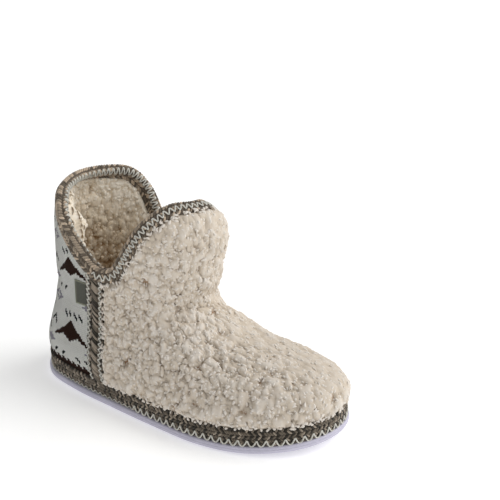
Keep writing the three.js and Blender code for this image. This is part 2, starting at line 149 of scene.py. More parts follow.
# Outline of the sole: share of the length, half widths as shares of half a width, and how much of
# that width is the ball's rather than the heel's.
OUTLINE = table(
    "along outer inner ball",
    (0.028, 0.44, 0.46, 0),
    (0.095, 0.81, 0.83, 0),
    (0.21, 1.0, 1.0, 0),
    (0.38, 1.12, 0.98, 0),
    (0.56, 0.98, 0.87, 1),
    (0.7, 1.0, 0.99, 1),
    (0.84, 0.85, 0.95, 1),
    (0.94, 0.55, 0.73, 1),
    (0.985, 0.25, 0.43, 1),
)
# Stations from the heel to the toe: share of the half outline, the ankle and collar rings as shares
# of their half sizes, height of the edge above the notch on the outer and the inner side, swell of
# the shaft, and share of vamp.
ROUND = table(
    "foot ankle_x ankle_y collar_x collar_y rise rise_in belly front",
    (0, -1, 0, -1, 0, 1, 1, 0.75, 0),
    (0.075, -0.9, 0.43, -0.895, 0.46, 0.985, 0.985, 0.5, 0),
    (0.145, -0.715, 0.735, -0.73, 0.79, 0.91, 0.91, 0.2, 0),
    (0.21, -0.5, 0.91, -0.565, 0.975, 0.67, 0.67, 0, 0),
    (0.275, -0.26, 0.98, -0.345, 0.965, 0.34, 0.34, 0, 0),
    (0.34, 0.02, 1, -0.07, 0.9, 0.05, 0.05, 0, 0.1),
    (0.46, 0.28, 0.98, 0.22, 0.88, 0.08, 0.04, 0, 0.5),
    (0.59, 0.55, 0.87, 0.48, 0.86, 0.45, 0.24, 0.1, 0.8),
    (0.72, 0.79, 0.66, 0.7, 0.76, 0.77, 0.5, 0.35, 1),
    (0.86, 0.94, 0.37, 0.9, 0.45, 0.95, 0.74, 0.75, 1),
    (1, 1, 0, 1, 0, 0.925, 0.925, 0.95, 1),
)
TURNED_COLUMNS = ("foot", "ankle_y", "collar_y")
# From the sole to the ankle ring: share of the height, ways in at the toe, sides and heel, bulge.
FOOT = table(
    "rise toe side heel swell",
    (0, 0, 0, 0, 0),
    (0.13, 0, 0, 0.04, 0.1),
    (0.27, 0, 0.07, 0.12, 0.75),
    (0.4, 0.01, 0.2, 0.3, 1),
    (0.5, 0.12, 0.35, 0.48, 0.8),
    (0.57, 0.305, 0.465, 0.62, 0.65),
    (0.63, 0.505, 0.565, 0.74, 0.5),
    (0.76, 0.775, 0.755, 0.9, 0.2),
    (1, 1, 1, 1, 0),
)
# From the ankle ring to the collar's edge: share of the way, and of the shaft's swell.
SHAFT = table("way swell", (0.25, 0.3), (0.5, 0.68), (0.75, 1), (0.9, 0.8), (1, 0))

# Soft troughs of the vamp (depth above 0) and ridges (below 0), each between two places on the
# cloth. Width and depth are in millimetres of this boot.
CREASE_COLUMNS = "station share to_station to_share width depth"
VAMP_CREASES = table(
    CREASE_COLUMNS,
    (9.3, 0.66, 7.3, 0.5, 7, 2.2),
    (7.3, 0.5, 6.0, 0.4, 9, 1.2),
    (10.7, 0.66, 12.7, 0.5, 7, 2.0),
    (8.2, 0.84, 7.0, 0.72, 9, 1.2),
    (11.8, 0.82, 13.1, 0.7, 9, 1.4),
    (8.6, 0.3, 7.2, 0.24, 10, 1.2),
    (11.3, 0.34, 12.8, 0.25, 10, 1.3),
    (9.2, 0.44, 10.8, 0.45, 12, 1.0),
)
KNIT_CREASES = table(
    CREASE_COLUMNS,
    (0.2, 0.47, 3.2, 0.5, 8, 1.3),
    (-0.3, 0.5, -3.0, 0.47, 8, 1.4),
    (3.6, 0.66, 2.4, 0.6, 7, 0.9),
    (-3.5, 0.68, -2.2, 0.6, 7, 0.9),
    (1.2, 0.3, 3.8, 0.22, 9, -0.7),
)
LINING_CREASES = table(
    CREASE_COLUMNS,
    (0.9, 0.87, 2.6, 0.87, 13, 7),
    (2.6, 0.87, 4.5, 0.86, 12, 7.5),
    (0.5, 0.92, 1.5, 0.5, 6, -3),
    (-1.2, 0.86, 0.3, 0.7, 8, 1.8),
    (-3.2, 0.8, -2.4, 0.55, 9, 2.2),
)
# Strands of a braid, a row for each line of them: place across it, lean in degrees, half length,
# half width, half height and pitch in millimetres, and start as a share of the pitch.
STRAND_COLUMNS = "across lean long wide high pitch start"
STRAND_TONES = (0.36, 0.72)  # up to which a strand is dark, and middling
FOOT_STRANDS = table(
    STRAND_COLUMNS,
    (0.1, 42, 1.8, 0.7, 0.75, 1.95, 0),
    (0.32, -42, 2.0, 0.75, 0.95, 1.95, 0.25),
    (0.54, 42, 2.0, 0.75, 1.05, 1.95, 0.5),
    (0.76, -42, 2.0, 0.75, 0.95, 1.95, 0.75),
    (0.95, 60, 1.8, 0.8, 0.8, 3.9, 0),
)
COLLAR_STRANDS = table(
    STRAND_COLUMNS,
    (0.08, 48, 2.2, 0.85, 0.8, 2.2, 0),
    (0.24, -48, 2.4, 0.9, 0.95, 2.2, 0.2),
    (0.41, 50, 2.3, 1.0, 1.0, 2.1, 0.4),
    (0.6, -50, 2.3, 1.0, 1.0, 2.1, 0.6),
    (0.79, 48, 2.4, 0.9, 0.95, 2.2, 0.8),
    (0.93, -48, 2.2, 0.85, 0.8, 2.2, 0.9),
)
# Side of the sole above its rounded lower edge: way up to the top, and millimetres in.
SOLE_SIDE = table(
    "way inset", (0.12, 0.1), (0.22, 0.35), (0.34, 0.35), (0.44, 0.1), (0.74, 0.3), (0.97, 1.1), (1, 4)
)

# One repeat of the knitted pattern, a letter for each stitch: k black, b brown, g grey yarn.
KNIT_CHART = """
................................
...............g................
.............gg.gg..............
...........gggg.gggg............
.........gggg.....gggg..........
...........gggg.gggg............
.............gg.gg..............
...............g................
................................
..k...k...................k...k.
..kk..kk..................kk..kk
...kk..kk..................kk..k
....k...k...................k...
................................
b..............................b
bb.............k..............bb
bbb...........kkk............bbb
bbbb.........kk.kk..........bbbb
bbbbb.......kk...kk........bbbbb
bbbbbbb.....k.....k......bbbbbbb
bbbbbbbb................bbbbbbbb
bbbbbbbbb..............bbbbbbbbb
bbbbb.bbbbb..........bbbbb.bbbbb
bbb.....bbbb........bbbb.....bbb
b..........bb......bb..........b
................................
...............g................
.............ggggg..............
...........ggggggggg............
.............ggggg..............
...............g................
................................
....kk....kk........kk....kk....
.....kk....kk......kk....kk.....
......k.....k......k.....k......
................................
""".split()
HEM_CHART = """
bb..bb..bb..bb..bb..bb..bb..bb..
bbb.bbb.bbb.bbb.bbb.bbb.bbb.bbb.
bbbbbbbbbbbbbbbbbbbbbbbbbbbbbbbb
bbbbbbbbbbbbbbbbbbbbbbbbbbbbbbbb
bbbbbbbbbbbbbbbbbbbbbbbbbbbbbbbb
""".split()
YARNS = ".kbg"


def srgb(red, green, blue):
    """A colour given as it is seen, 0 to 255, in the renderer's linear values."""
    seen = (red / 255, green / 255, blue / 255)
    return tuple(c / 12.92 if c < 0.04045 else ((c + 0.055) / 1.055) ** 2.4 for c in seen)


def size(name, millimetres, text):
    return FloatProperty(name=name, description=text, default=millimetres * MM, unit="LENGTH")


def part(name, share, text):
    return FloatProperty(name=name, description=text, default=share, subtype="FACTOR")


def angle(name, degrees, text):
    return FloatProperty(name=name, description=text, default=math.radians(degrees), subtype="ANGLE")


def colour(name, red, green, blue, text):
    return FloatVectorProperty(
        name=name, description=text, default=srgb(red, green, blue), subtype="COLOR", min=0, max=1
    )


class BootSizes(bpy.types.PropertyGroup):
    """Sizes of the boot's form, as in the frame."""

    sole_length: size("Sole length", 256, "From the back of the heel to the toe")
    ball_width: size("Ball width", 109, "Across the sole at the ball of the foot")
    heel_width: size("Heel width", 88, "Across the sole at the heel")
    sole_thickness: size("Sole thickness", 5.6, "From the ground to the cloth")
    sole_edge: size("Sole edge", 3, "Radius of the sole's lower edge")
    toe_spring: size("Toe spring", 6.5, "Lift of the toe off the ground")
    heel_spring: size("Heel spring", 1.2, "Lift of the heel's back edge off the ground")
    spring_start: size("Spring start", 62, "Where the toe begins to lift, ahead of the middle")
    heel_spring_length: size("Heel spring length", 25.6, "How much of the heel lifts")
    tread_rim: size("Tread rim", 8, "Plain border round the tread")
    tread_depth: size("Tread depth", 1.4, "Depth of the sunk tread fields")
    shank_length: size("Shank length", 30, "Plain band across the waist of the sole")
    shank_centre: size("Shank centre", -42, "Middle of the plain band")
    shank_slant: part("Shank slant", 0.3, "Lean of the plain band, along per across")
    toe_apex: part("Toe apex", 0.1, "Lean of the toe to the inner side")
    feather: size("Feather", 4.2, "From the edge of the sole to the cloth")
    heel_bulge: size("Heel bulge", 4, "Swell of the back over its foot")
    toe_bulge: size("Toe bulge", 1, "Swell of the toe over its foot")
    ankle_length: size("Ankle length", 132, "Along the ankle")
    ankle_width: size("Ankle width", 80, "Across the ankle")
    ankle_centre: size("Ankle centre", -50, "Middle of the ankle")
    throat_height: size("Throat height", 75, "Height of the ankle ring in front")
    heel_height: size("Heel height", 74, "Height of the narrowest place at the back")
    collar_length: size("Collar length", 108, "Along the collar")
    collar_width: size("Collar width", 94, "Across the collar")
    collar_centre: size("Collar centre", -44, "Middle of the collar")
    collar_aside: size("Collar aside", 2, "How far the collar leans to the inner side")
    collar_height: size("Collar height", 153, "Height of the back lobe")
    notch_height: size("Notch height", 98, "Height of the side notches")
    shaft_belly: size("Shaft belly", 13, "Swell of the lobes")
    cloth: size("Cloth", 2.5, "Thickness of the wall under the pile")
    clearance: size("Clearance", 0.3, "Gap between pieces")


class BootTrim(bpy.types.PropertyGroup):
    """Sizes of the pile, knit, braid and stitches."""

    pile: size("Vamp pile", 5, "Height of the vamp's curls")
    lining_pile: size("Lining pile", 4.2, "Height of the lining's curls")
    clump: size("Clump", 7.0, "Width of one clump of curls")
    curl: size("Curl", 3.4, "Width of one curl")
    lock_length: size("Lock length", 3.7, "Length of a loose lock of wool")
    lock_width: size("Lock width", 2.0, "Width of a loose lock of wool")
    lock_spacing: size("Lock spacing", 2.3, "Between loose locks of wool")
    wale: size("Wale", 1.55, "Width of one knitted stitch")
    course: size("Course", 1.4, "Height of one knitted stitch")
    braid: size("Braid", 2.5, "Thickness of the braid")
    foot_band: size("Foot band", 12, "Height of the braid round the foot")
    seam_band: size("Seam band", 17.5, "Width of the braid over a side seam")
    binding: size("Binding", 8, "Width of the braid over the collar's edge")
    thread: size("Thread", 0.95, "Thickness of the light stitching thread")
    insole: size("Insole", 6, "Thickness of the footbed")
    tab_width: size("Tab width", 11, "How far the tab stands out")
    tab_height: size("Tab height", 17, "Height of the tab")
    tab_drop: size("Tab drop", 10, "From the binding down to the tab")
    tab_lift: size("Tab lift", 0.6, "From the cloth to the tab")


class BootColours(bpy.types.PropertyGroup):
    """Colours of the boot's yarns, pile and rubber."""

    fleece_tip: colour("Fleece tips", 229, 222, 213, "Tips of the vamp's curls")
    fleece_mid: colour("Fleece", 212, 199, 182, "Sides of the vamp's curls")
    # Partly the wool's own brown and partly painted shade: the colour low down between the curls
    fleece_deep: colour("Fleece depth", 152, 116, 84, "Between the vamp's curls")
    lining_tip: colour("Lining tips", 250, 242, 228, "Tips of the lining's curls")
    lining_mid: colour("Lining", 244, 230, 208, "Sides of the lining's curls")
    # Partly the wool's own brown and partly painted shade: the colour low down between the curls
    lining_deep: colour("Lining depth", 158, 128, 94, "Between the lining's curls")
    knit_ground: colour("Knit ground", 250, 250, 240, "Ground of the knit")
    knit_black: colour("Knit black", 26, 24, 22, "Darkest yarn of the knit")
    knit_brown: colour("Knit brown", 50, 26, 15, "Brown yarn of the knit")
    knit_grey: colour("Knit grey", 150, 145, 156, "Grey yarn of the knit")
    braid_dark: colour("Braid dark", 60, 55, 47, "Darkest strands of the foot and seam braids")
    braid_mid: colour("Braid middle", 116, 106, 93, "Usual strands of the foot and seam braids")
    braid_light: colour("Braid light", 168, 155, 139, "Lightest strands of the foot and seam braids")
    collar_dark: colour("Collar dark", 108, 97, 84, "Darkest strands of the collar's braid")
    collar_mid: colour("Collar middle", 162, 147, 129, "Usual strands of the collar's braid")
    collar_light: colour("Collar light", 202, 183, 161, "Lightest strands of the collar's braid")
    stitch: colour("Stitching", 214, 212, 203, "Light zigzag stitching")
    rubber: colour("Rubber", 197, 194, 211, "Sole")
    tab: colour("Tab", 62, 63, 52, "Woven tab")
    floor: colour("Floor", 243, 243, 242, "Studio floor")


class BootStage(bpy.types.PropertyGroup):
    """Camera of the photograph, from the outer side of the toe."""

    turn: angle("Turn", 36.4, "From the outer side to the toe")
    tilt: angle("Tilt", 20, "Above the level")
    distance: size("Distance", 850, "From the camera to its target")
    target: FloatVectorProperty(
        name="Target",
        description="Middle of the view",
        default=(0.01545, 0.056, 0.1006),
        subtype="XYZ",
        unit="LENGTH",
    )
    lens: FloatProperty(name="Lens", description="Focal length on a 36 mm sensor", default=83.4)


# Curves and the boot's form


def mix(a, b, t):
    return a + (b - a) * t


def ease(value, low=0.0, high=1.0):
    t = np.clip((value - low) / (high - low), 0, 1)
    return t * t * (3 - 2 * t)


def unit(vectors):
    return vectors / np.maximum(np.linalg.norm(vectors, axis=-1, keepdims=True), 1e-12)


def column(rows, name, place):
    """Smooth value of a table's column at places between its rows."""
    v = rows[name]
    if name in TURNED_COLUMNS:
        v = np.concatenate([[2 * v[0] - v[1]], v, [2 * v[-1] - v[-2]]])
    else:
        v = np.concatenate([[v[1]], v, [v[-2]]])
    i = np.minimum(np.floor(place).astype(int), len(v) - 4)
    t = place - i
    before, a, b, after = (v[i + k] for k in range(4))
    bend = 2 * before - 5 * a + 4 * b - after + t * (3 * (a - b) + after - before)
    return a + 0.5 * t * (b - before + t * bend)


def rounded(points, per_span, closed=False):
    """Centripetal curves through points of shape (..., count, 3)."""
    first, last = points[..., :1, :], points[..., -1:, :]
    if closed:
        q = np.concatenate([last, points, points[..., :2, :]], -2)
    else:
        q = np.concatenate([2 * first - points[..., 1:2, :], points, 2 * last - points[..., -2:-1, :]], -2)
    p0, p1, p2, p3 = q[..., :-3, :], q[..., 1:-2, :], q[..., 2:-1, :], q[..., 3:, :]
    gap = lambda a, b: np.sqrt(np.maximum(np.linalg.norm(b - a, axis=-1, keepdims=True), 1e-9))
    d0, d1, d2 = gap(p0, p1), gap(p1, p2), gap(p2, p3)
    m1 = d1 * ((p1 - p0) / d0 - (p2 - p0) / (d0 + d1) + (p2 - p1) / d1)
    m2 = d1 * ((p2 - p1) / d1 - (p3 - p1) / (d1 + d2) + (p3 - p2) / d2)
    u = np.linspace(0, 1, per_span, endpoint=False)[:, None]
    p1, p2, m1, m2 = (x[..., None, :] for x in (p1, p2, m1, m2))
    curve = p1 + m1 * u + (3 * (p2 - p1) - 2 * m1 - m2) * u**2 + (2 * (p1 - p2) + m1 + m2) * u**3
    curve = curve.reshape(*curve.shape[:-3], -1, 3)
    return np.concatenate([curve, points[..., :1, :] if closed else last], -2)


def arc(points):
    """Distance along a line of points, from its start."""
    return np.concatenate([[0.0], np.cumsum(np.linalg.norm(np.diff(points, axis=0), axis=1))])


def even(points, steps):
    """The same line with evenly spaced points."""
    run = arc(points)
    goal = np.linspace(0, run[-1], steps + 1)
    return np.stack([np.interp(goal, run, points[:, k]) for k in range(3)], 1)


class BootForm:
    """The boot's cloth as a surface over stations and shares."""

    def __init__(self, sizes):
        self.s = sizes
        self.make_outline()
        stations = np.arange(RING) * TURN / RING
        profiles = rounded(self.controls(stations), 12)
        self.points = np.stack([even(p, STEPS) for p in profiles])
        self.around = (np.roll(self.points, -1, 0) - np.roll(self.points, 1, 0)) * RING / (2 * TURN)
        self.up = np.gradient(self.points, axis=1) * STEPS
        self.normals = unit(np.cross(self.around, self.up))
        self.lengths = np.linalg.norm(np.diff(self.points, axis=1), axis=2).sum(1)

    def make_outline(self):
        s = self.s
        half = mix(s.heel_width, s.ball_width, OUTLINE["ball"]) / 2
        x = (OUTLINE["along"] - 0.5) * s.sole_length
        flat = lambda a, b: np.stack([a, b, np.zeros_like(a)], 1)
        toe = np.array([[s.sole_length / 2, s.toe_apex * s.ball_width / 2, 0]])
        outer = flat(x, -OUTLINE["outer"] * half)
        inner = flat(x, OUTLINE["inner"] * half)[::-1]
        heel = np.array([[-s.sole_length / 2, 0, 0]])
        per_span = 60
        line = rounded(np.concatenate([heel, outer, toe, inner]), per_span, closed=True)
        centre = (line.min(0) + line.max(0)) / 2
        goal = (np.array(SOLE_BOX[0]) + np.array(SOLE_BOX[1])) / 2
        self.shift = np.array([goal[0] - centre[0], goal[1] - centre[1], 0.0])
        run = arc(line)
        self.toe_share = run[per_span * (len(x) + 1)] / run[-1]
        self.outline = even(line, 4000)

    def spring(self, x):
        """Lift of the bent sole off the ground; x is measured from the middle of the sole."""
        s = self.s
        toe = np.maximum(0, x - s.spring_start) / (s.sole_length / 2 - s.spring_start)
        heel = np.maximum(0, s.heel_spring_length - s.sole_length / 2 - x) / s.heel_spring_length
        return s.toe_spring * toe**2 + s.heel_spring * heel**2

    def fold(self, station):
        """Place in the tables, from the heel to the toe, and the side: -1 outer, 1 inner."""
        station = np.mod(station, TURN)
        outer = station <= TOE
        return np.where(outer, station, TURN - station), np.where(outer, -1.0, 1.0)

    def edge(self, station):
        """Point and outward direction of the sole's outline."""
        place, side = self.fold(station)
        share = column(ROUND, "foot", place)
        run = np.where(side < 0, share * self.toe_share, 1 - share * (1 - self.toe_share)) % 1
        k = run * (len(self.outline) - 1)
        index = np.arange(len(self.outline))
        at = lambda v: np.stack([np.interp(v, index, self.outline[:, n]) for n in range(3)], -1)
        point = at(k)
        way = unit(at(np.mod(k + 2, index[-1])) - at(np.mod(k - 2, index[-1])))
        out = np.stack([way[..., 1], -way[..., 0], np.zeros_like(way[..., 0])], -1)
        return point, out

    def controls(self, station):
        """The profile's points at each station, from the sole to the collar."""
        s = self.s
        place, side = self.fold(station)
        get = lambda name: column(ROUND, name, place)
        point, out = self.edge(station)
        front = np.clip(get("front"), 0, 1)
        toward = ease(place, 7.5, 10)
        foot = point - out * s.feather
        foot[:, 2] = s.sole_thickness + s.clearance + self.spring(foot[:, 0])
        ankle = np.stack(
            [
                s.ankle_centre + get("ankle_x") * s.ankle_length / 2,
                side * get("ankle_y") * s.ankle_width / 2,
                mix(s.heel_height, s.throat_height, ease(place, 0, TOE)),
            ],
            1,
        )
        collar = np.stack(
            [
                s.collar_centre + get("collar_x") * s.collar_length / 2,
                s.collar_aside + side * get("collar_y") * s.collar_width / 2,
                mix(s.notch_height, s.collar_height, np.where(side < 0, get("rise"), get("rise_in"))),
            ],
            1,
        )
        bulge = mix(s.heel_bulge, s.toe_bulge, front)[:, None]
        line = []
        for rise, toe, flank, heel, swell in zip(*FOOT.values()):
            way = mix(heel, mix(flank, toe, toward), front)[:, None]
            p = mix(foot, ankle, way)
            p[:, 2] = mix(foot[:, 2], ankle[:, 2], rise)
            line.append(p + out * swell * bulge)
        along, beside = get("ankle_x") * s.ankle_length, get("ankle_y") * s.ankle_width
        away = np.stack([along, side * beside, 0 * place], 1)
        away = unit(away) * get("belly")[:, None] * s.shaft_belly
        for way, swell in zip(*SHAFT.values()):
            line.append(mix(ankle, collar, way) + away * swell)
        return np.stack(line, 1) + self.shift

    def sample(self, grid, station, share):
        station, share = np.broadcast_arrays(np.asarray(station, float), np.asarray(share, float))
        ring = np.mod(station * RING / TURN, RING)
        step = np.clip(share, 0, 1) * STEPS
        i = np.floor(ring).astype(int) % RING
        j = np.minimum(np.floor(step).astype(int), STEPS - 1)
        u, v = (ring - np.floor(ring))[..., None], (step - j)[..., None]
        k = (i + 1) % RING
        return mix(mix(grid[i, j], grid[i, j + 1], v), mix(grid[k, j], grid[k, j + 1], v), u)

    def cloth(self, station, share, offset=0.0):
        """Points of the cloth, moved outwards by an offset."""
        over = np.maximum(0, np.asarray(share, float) - 1)[..., None]
        p = self.sample(self.points, station, share) + self.sample(self.up, station, share) * over
        return p + self.normal(station, share) * np.asarray(offset)[..., None]

    def normal(self, station, share):
        return unit(self.sample(self.normals, station, share))

    def length(self, station):
        """Length of the profile at each station."""
        ring = np.mod(np.asarray(station, float) * RING / TURN, RING)
        return np.interp(ring, np.arange(RING + 1), np.append(self.lengths, self.lengths[0]))

    def speed(self, station, share):
        """Metres of cloth per station."""
        return np.linalg.norm(self.sample(self.around, station, share), axis=-1)

    def squareness(self, station):
        """How squarely the profile meets the collar's edge, 1 where it is square."""
        around = unit(self.sample(self.around, station, 1))
        up = unit(self.sample(self.up, station, 1))
        return np.sqrt(1 - np.clip((around * up).sum(-1), -0.95, 0.95) ** 2)

    def under_rim(self, station, share):
        """Distance of each place from the collar's edge, down the cloth."""
        return (1 - share) * self.length(station) * self.squareness(station)

    def below_rim(self, station, distance):
        """Places at a distance square to the collar's edge, below it."""
        rim = self.cloth(station, np.ones_like(station))
        along = unit(self.sample(self.around, station, 1))
        down = unit(np.cross(self.normal(station, 1), along))
        down *= -np.sign((down * self.sample(self.up, station, 1)).sum(-1))[..., None]
        goal = rim + down * np.asarray(distance)[..., None]
        place = np.array(station, float)
        share = 1 - distance / self.length(station)
        for _ in range(8):
            miss = goal - self.cloth(place, share)
            a, b = self.sample(self.around, place, share), self.sample(self.up, place, share)
            aa, ab, bb = (a * a).sum(-1), (a * b).sum(-1), (b * b).sum(-1)
            p, q = (a * miss).sum(-1), (b * miss).sum(-1)
            det = aa * bb - ab * ab
            place = place + np.clip((bb * p - ab * q) / det, -0.3, 0.3)
            share = np.minimum(1, share + np.clip((aa * q - ab * p) / det, -0.1, 0.1))
        return place, share


@functools.lru_cache(maxsize=4)
def form_with(values):
    return BootForm(SimpleNamespace(**dict(zip(BootSizes.__annotations__, values))))


def boot(context):
    """The boot's form, sizes, trim and colours."""
    scene, sizes = context.scene, context.scene.boot_sizes
    form = form_with(tuple(getattr(sizes, name) for name in BootSizes.__annotations__))
    return form, sizes, scene.boot_trim, scene.boot_colours


# Scattered clumps and waves for pile and yarn


def scatter(cells, seed):
    """Three random numbers from 0 to 1 for each cell of a grid."""
    c = cells.astype(np.uint32)
    a, b, d = (c[..., k] * np.uint32(prime) for k, prime in enumerate((73856093, 19349663, 83492791)))
    mixed = a ^ b ^ d
    mixed ^= np.uint32(seed * 7919 + 12345)
    found = []
    for step in (15, 13, 16):
        mixed = (mixed ^ (mixed >> np.uint32(step))) * np.uint32(0x2C1B3C6D)
        mixed ^= mixed >> np.uint32(12)
        found.append((mixed & np.uint32(0xFFFFFF)) / float(0x1000000))
    return np.stack(found, -1)


def clumps(points, width, seed):
    """Distance to the nearest and the second nearest of scattered centres, as shares of their
    spacing, the way from the nearest, and three random numbers of its own."""
    grid = points / width
    base = np.floor(grid).astype(np.int64)
    nearest = np.full(len(points), 9.0)
    second = np.full(len(points), 9.0)
    away = np.zeros_like(points)
    own = np.zeros_like(points)
    for step in itertools.product((-1, 0, 1), repeat=3):
        cell = base + np.array(step)
        luck = scatter(cell, seed)
        gap = grid - (cell + 0.5 + 0.85 * (luck - 0.5))
        d = np.linalg.norm(gap, axis=1)
        closer = d < nearest
        second = np.where(closer, nearest, np.minimum(second, d))
        nearest = np.where(closer, d, nearest)
        away[closer] = gap[closer]
        own[closer] = luck[closer]
    return nearest, second, away * width, own


def waves(points, width, seed, count=7):
    """Gentle waves from -1 to 1 that repeat about every width."""
    luck = np.random.default_rng(seed)
    total = np.zeros(len(points))
    for _ in range(count):
        way = unit(luck.normal(size=3)) * luck.uniform(0.6, 1.5) * 2 * math.pi / width
        total += np.sin(points @ way + luck.uniform(0, 2 * math.pi))
    return total / count**0.5 * 0.8


def dents(form, points, creases):
    """Depth of the soft creases at points of the cloth, in metres."""
    depth = np.zeros(len(points))
    for station, share, to_station, to_share, width, deep in zip(*creases.values()):
        t = np.linspace(0, 1, 16)
        line = form.cloth(mix(station, to_station, t), mix(share, to_share, t))
        gap = np.min(np.linalg.norm(points[:, None, :] - line[None], axis=2), axis=1)
        depth += deep * MM * np.exp(-((gap / (width * MM)) ** 2))
    return depth


# Meshes


def grid_faces(rows, columns, wrap_rows=False, wrap_columns=False):
    """Quads over points in rows and columns."""
    i = np.arange(rows if wrap_rows else rows - 1)
    j = np.arange(columns if wrap_columns else columns - 1)
    i, j = np.meshgrid(i, j, indexing="ij")
    a, b = i % rows, (i + 1) % rows
    c, d = j % columns, (j + 1) % columns
    quads = np.stack([a * columns + c, b * columns + c, b * columns + d, a * columns + d], -1)
    return quads.reshape(-1, 4)


def make_mesh(name, points, quads, materials, yarn=None):
    """A smooth mesh object from points and quads; yarn is the material's place for each quad."""
    mesh = bpy.data.meshes.new(name)
    mesh.vertices.add(len(points))
    mesh.vertices.foreach_set("co", np.asarray(points, np.float32).ravel())
    mesh.loops.add(quads.size)
    mesh.loops.foreach_set("vertex_index", quads.astype(np.int32).ravel())
    mesh.polygons.add(len(quads))
    mesh.polygons.foreach_set("loop_start", np.arange(0, quads.size, 4, dtype=np.int32))
    if yarn is not None:
        mesh.polygons.foreach_set("material_index", yarn.astype(np.int32))
    mesh.update(calc_edges=True)
    mesh.validate()
    mesh.shade_smooth()
    for material in materials:
        mesh.materials.append(material)
    piece = bpy.data.objects.new(name, mesh)
    bpy.context.scene.collection.objects.link(piece)
    return piece


def note(piece, name, values):
    """Keeps one number for each point on the mesh, for its material."""
    made = piece.data.attributes.new(name, "FLOAT", "POINT")
    made.data.foreach_set("value", np.asarray(values, np.float32).ravel())


def lay_map(piece, across, along):
    """Lays a map over the mesh: two numbers for each of its points."""
    corners = np.empty(len(piece.data.loops), np.int32)
    piece.data.loops.foreach_get("vertex_index", corners)
    made = piece.data.uv_layers.new(name="Stitches")
    made.data.foreach_set("uv", np.stack([across[corners], along[corners]], 1).astype(np.float32).ravel())


def seat(piece, node):
    """Ties a piece to the boot's frame, in the place of the node that it stands for."""
    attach(piece, "root")
    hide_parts(node)
    return piece


def joined(quads, copies):
    """Copies of one small shape as one mesh. copies holds its points moved, (copies, points, 3)."""
    count = copies.shape[1]
    every = quads[None] + (np.arange(len(copies)) * count)[:, None, None]
    return copies.reshape(-1, 3), every.reshape(-1, 4)


# Materials


class Finish:
    """A material being built, with short names for its nodes."""

    def __init__(self, name):
        self.material = bpy.data.materials.new(name)
        self.material.use_nodes = True
        self.nodes = self.material.node_tree.nodes
        self.links = self.material.node_tree.links
        self.shader = self.nodes["Principled BSDF"]

    def put(self, node, socket, value):
        if isinstance(value, bpy.types.NodeSocket):
            self.links.new(value, node.inputs[socket])
        elif value is not None:
            node.inputs[socket].default_value = value

    def surface(self, socket, value):
        self.put(self.shader, socket, value)

    def place(self):
        return self.node("ShaderNodeTexCoord").outputs["Object"]

    def node(self, kind, **inputs):
        made = self.nodes.new(kind)
        for socket, value in inputs.items():
            self.put(made, socket.replace("_", " "), value)
        return made

    def maths(self, operation, a, b=None, c=None):
        made = self.nodes.new("ShaderNodeMath")
        made.operation = operation
        for i, value in enumerate((a, b, c)):
            self.put(made, i, value)
        return made.outputs[0]

    def noise(self, width, detail=3.0, rough=0.6, bend=0.0):
        """Cloudy noise whose lumps are about this wide."""
        made = self.node("ShaderNodeTexNoise", Vector=self.place(), Scale=1 / width, Detail=detail)
        made.inputs["Roughness"].default_value = rough
        made.inputs["Distortion"].default_value = bend
        return made.outputs["Fac"]

    def fade(self, value, low, high):
        """0 at and below low, 1 at and above high, smooth between; low may be the larger."""
        made = self.nodes.new("ShaderNodeMapRange")
        made.interpolation_type = "SMOOTHSTEP"
        for socket, number in (("Value", value), ("From Min", low), ("From Max", high)):
            self.put(made, socket, number)
        return made.outputs["Result"]

    def ramp(self, factor, *stops):
        made = self.nodes.new("ShaderNodeValToRGB")
        self.put(made, "Fac", factor)
        steps = made.color_ramp.elements
        while len(steps) < len(stops):
            steps.new(0.5)
        for step, (at, value) in zip(steps, stops):
            step.position = at
            step.color = (*value, 1)
        return made.outputs["Color"]

    def blend(self, factor, a, b):
        made = self.nodes.new("ShaderNodeMix")
        made.data_type = "RGBA"
        self.put(made, 0, factor)
        for socket, value in ((6, a), (7, b)):
            self.put(made, socket, value if isinstance(value, bpy.types.NodeSocket) else (*value, 1))
        return made.outputs[2]

    def bump(self, height, depth, strength=1.0, over=None):
        made = self.node("ShaderNodeBump", Height=height, Distance=depth, Strength=strength, Normal=over)
        return made.outputs["Normal"]

    def own(self, name):
        """A number kept on the mesh's points."""
        made = self.nodes.new("ShaderNodeAttribute")
        made.attribute_name = name
        return made.outputs["Fac"]


def shaded(value, amount):
    return tuple(min(1.0, c * amount) for c in value)


def fleece_finish(name, c, pile):
    """Curly wool pile: pale tips, warmer sides, darker brown between the curls, fine fibres. The darker
    brown low in the pile is partly the wool's own colour and partly painted shade. pile is fleece or lining,
    the first word of its three colours' names."""
    tip, middle, depth = (tuple(getattr(c, pile + tone)) for tone in ("_tip", "_mid", "_deep"))
    f = Finish(name)
    fluff = f.noise(1.4 * MM, 4, 0.7, 0.8)
    level = f.maths("MULTIPLY_ADD", fluff, 0.3, f.maths("MULTIPLY", f.own("height"), 0.85))
    # Partly painted shade: the colour runs from the deep brown low in the pile, through a darkened copy of
    # the sides' colour, to the pale tips
    wool = f.ramp(level, (0.27, depth), (0.43, shaded(middle, 0.78)), (0.56, middle), (0.88, tip))
    stained = f.blend(f.fade(f.noise(22 * MM, 3, 0.55), 0.45, 0.75), wool, middle)
    f.surface("Base Color", f.blend(0.3, wool, stained))
    f.surface("Roughness", f.maths("MULTIPLY_ADD", fluff, 0.1, 0.86))
    f.surface("Specular IOR Level", 0.04)
    f.surface("Normal", f.bump(f.noise(0.9 * MM, 3, 0.6, 0.8), 0.25 * MM, 0.6))
    return f.material


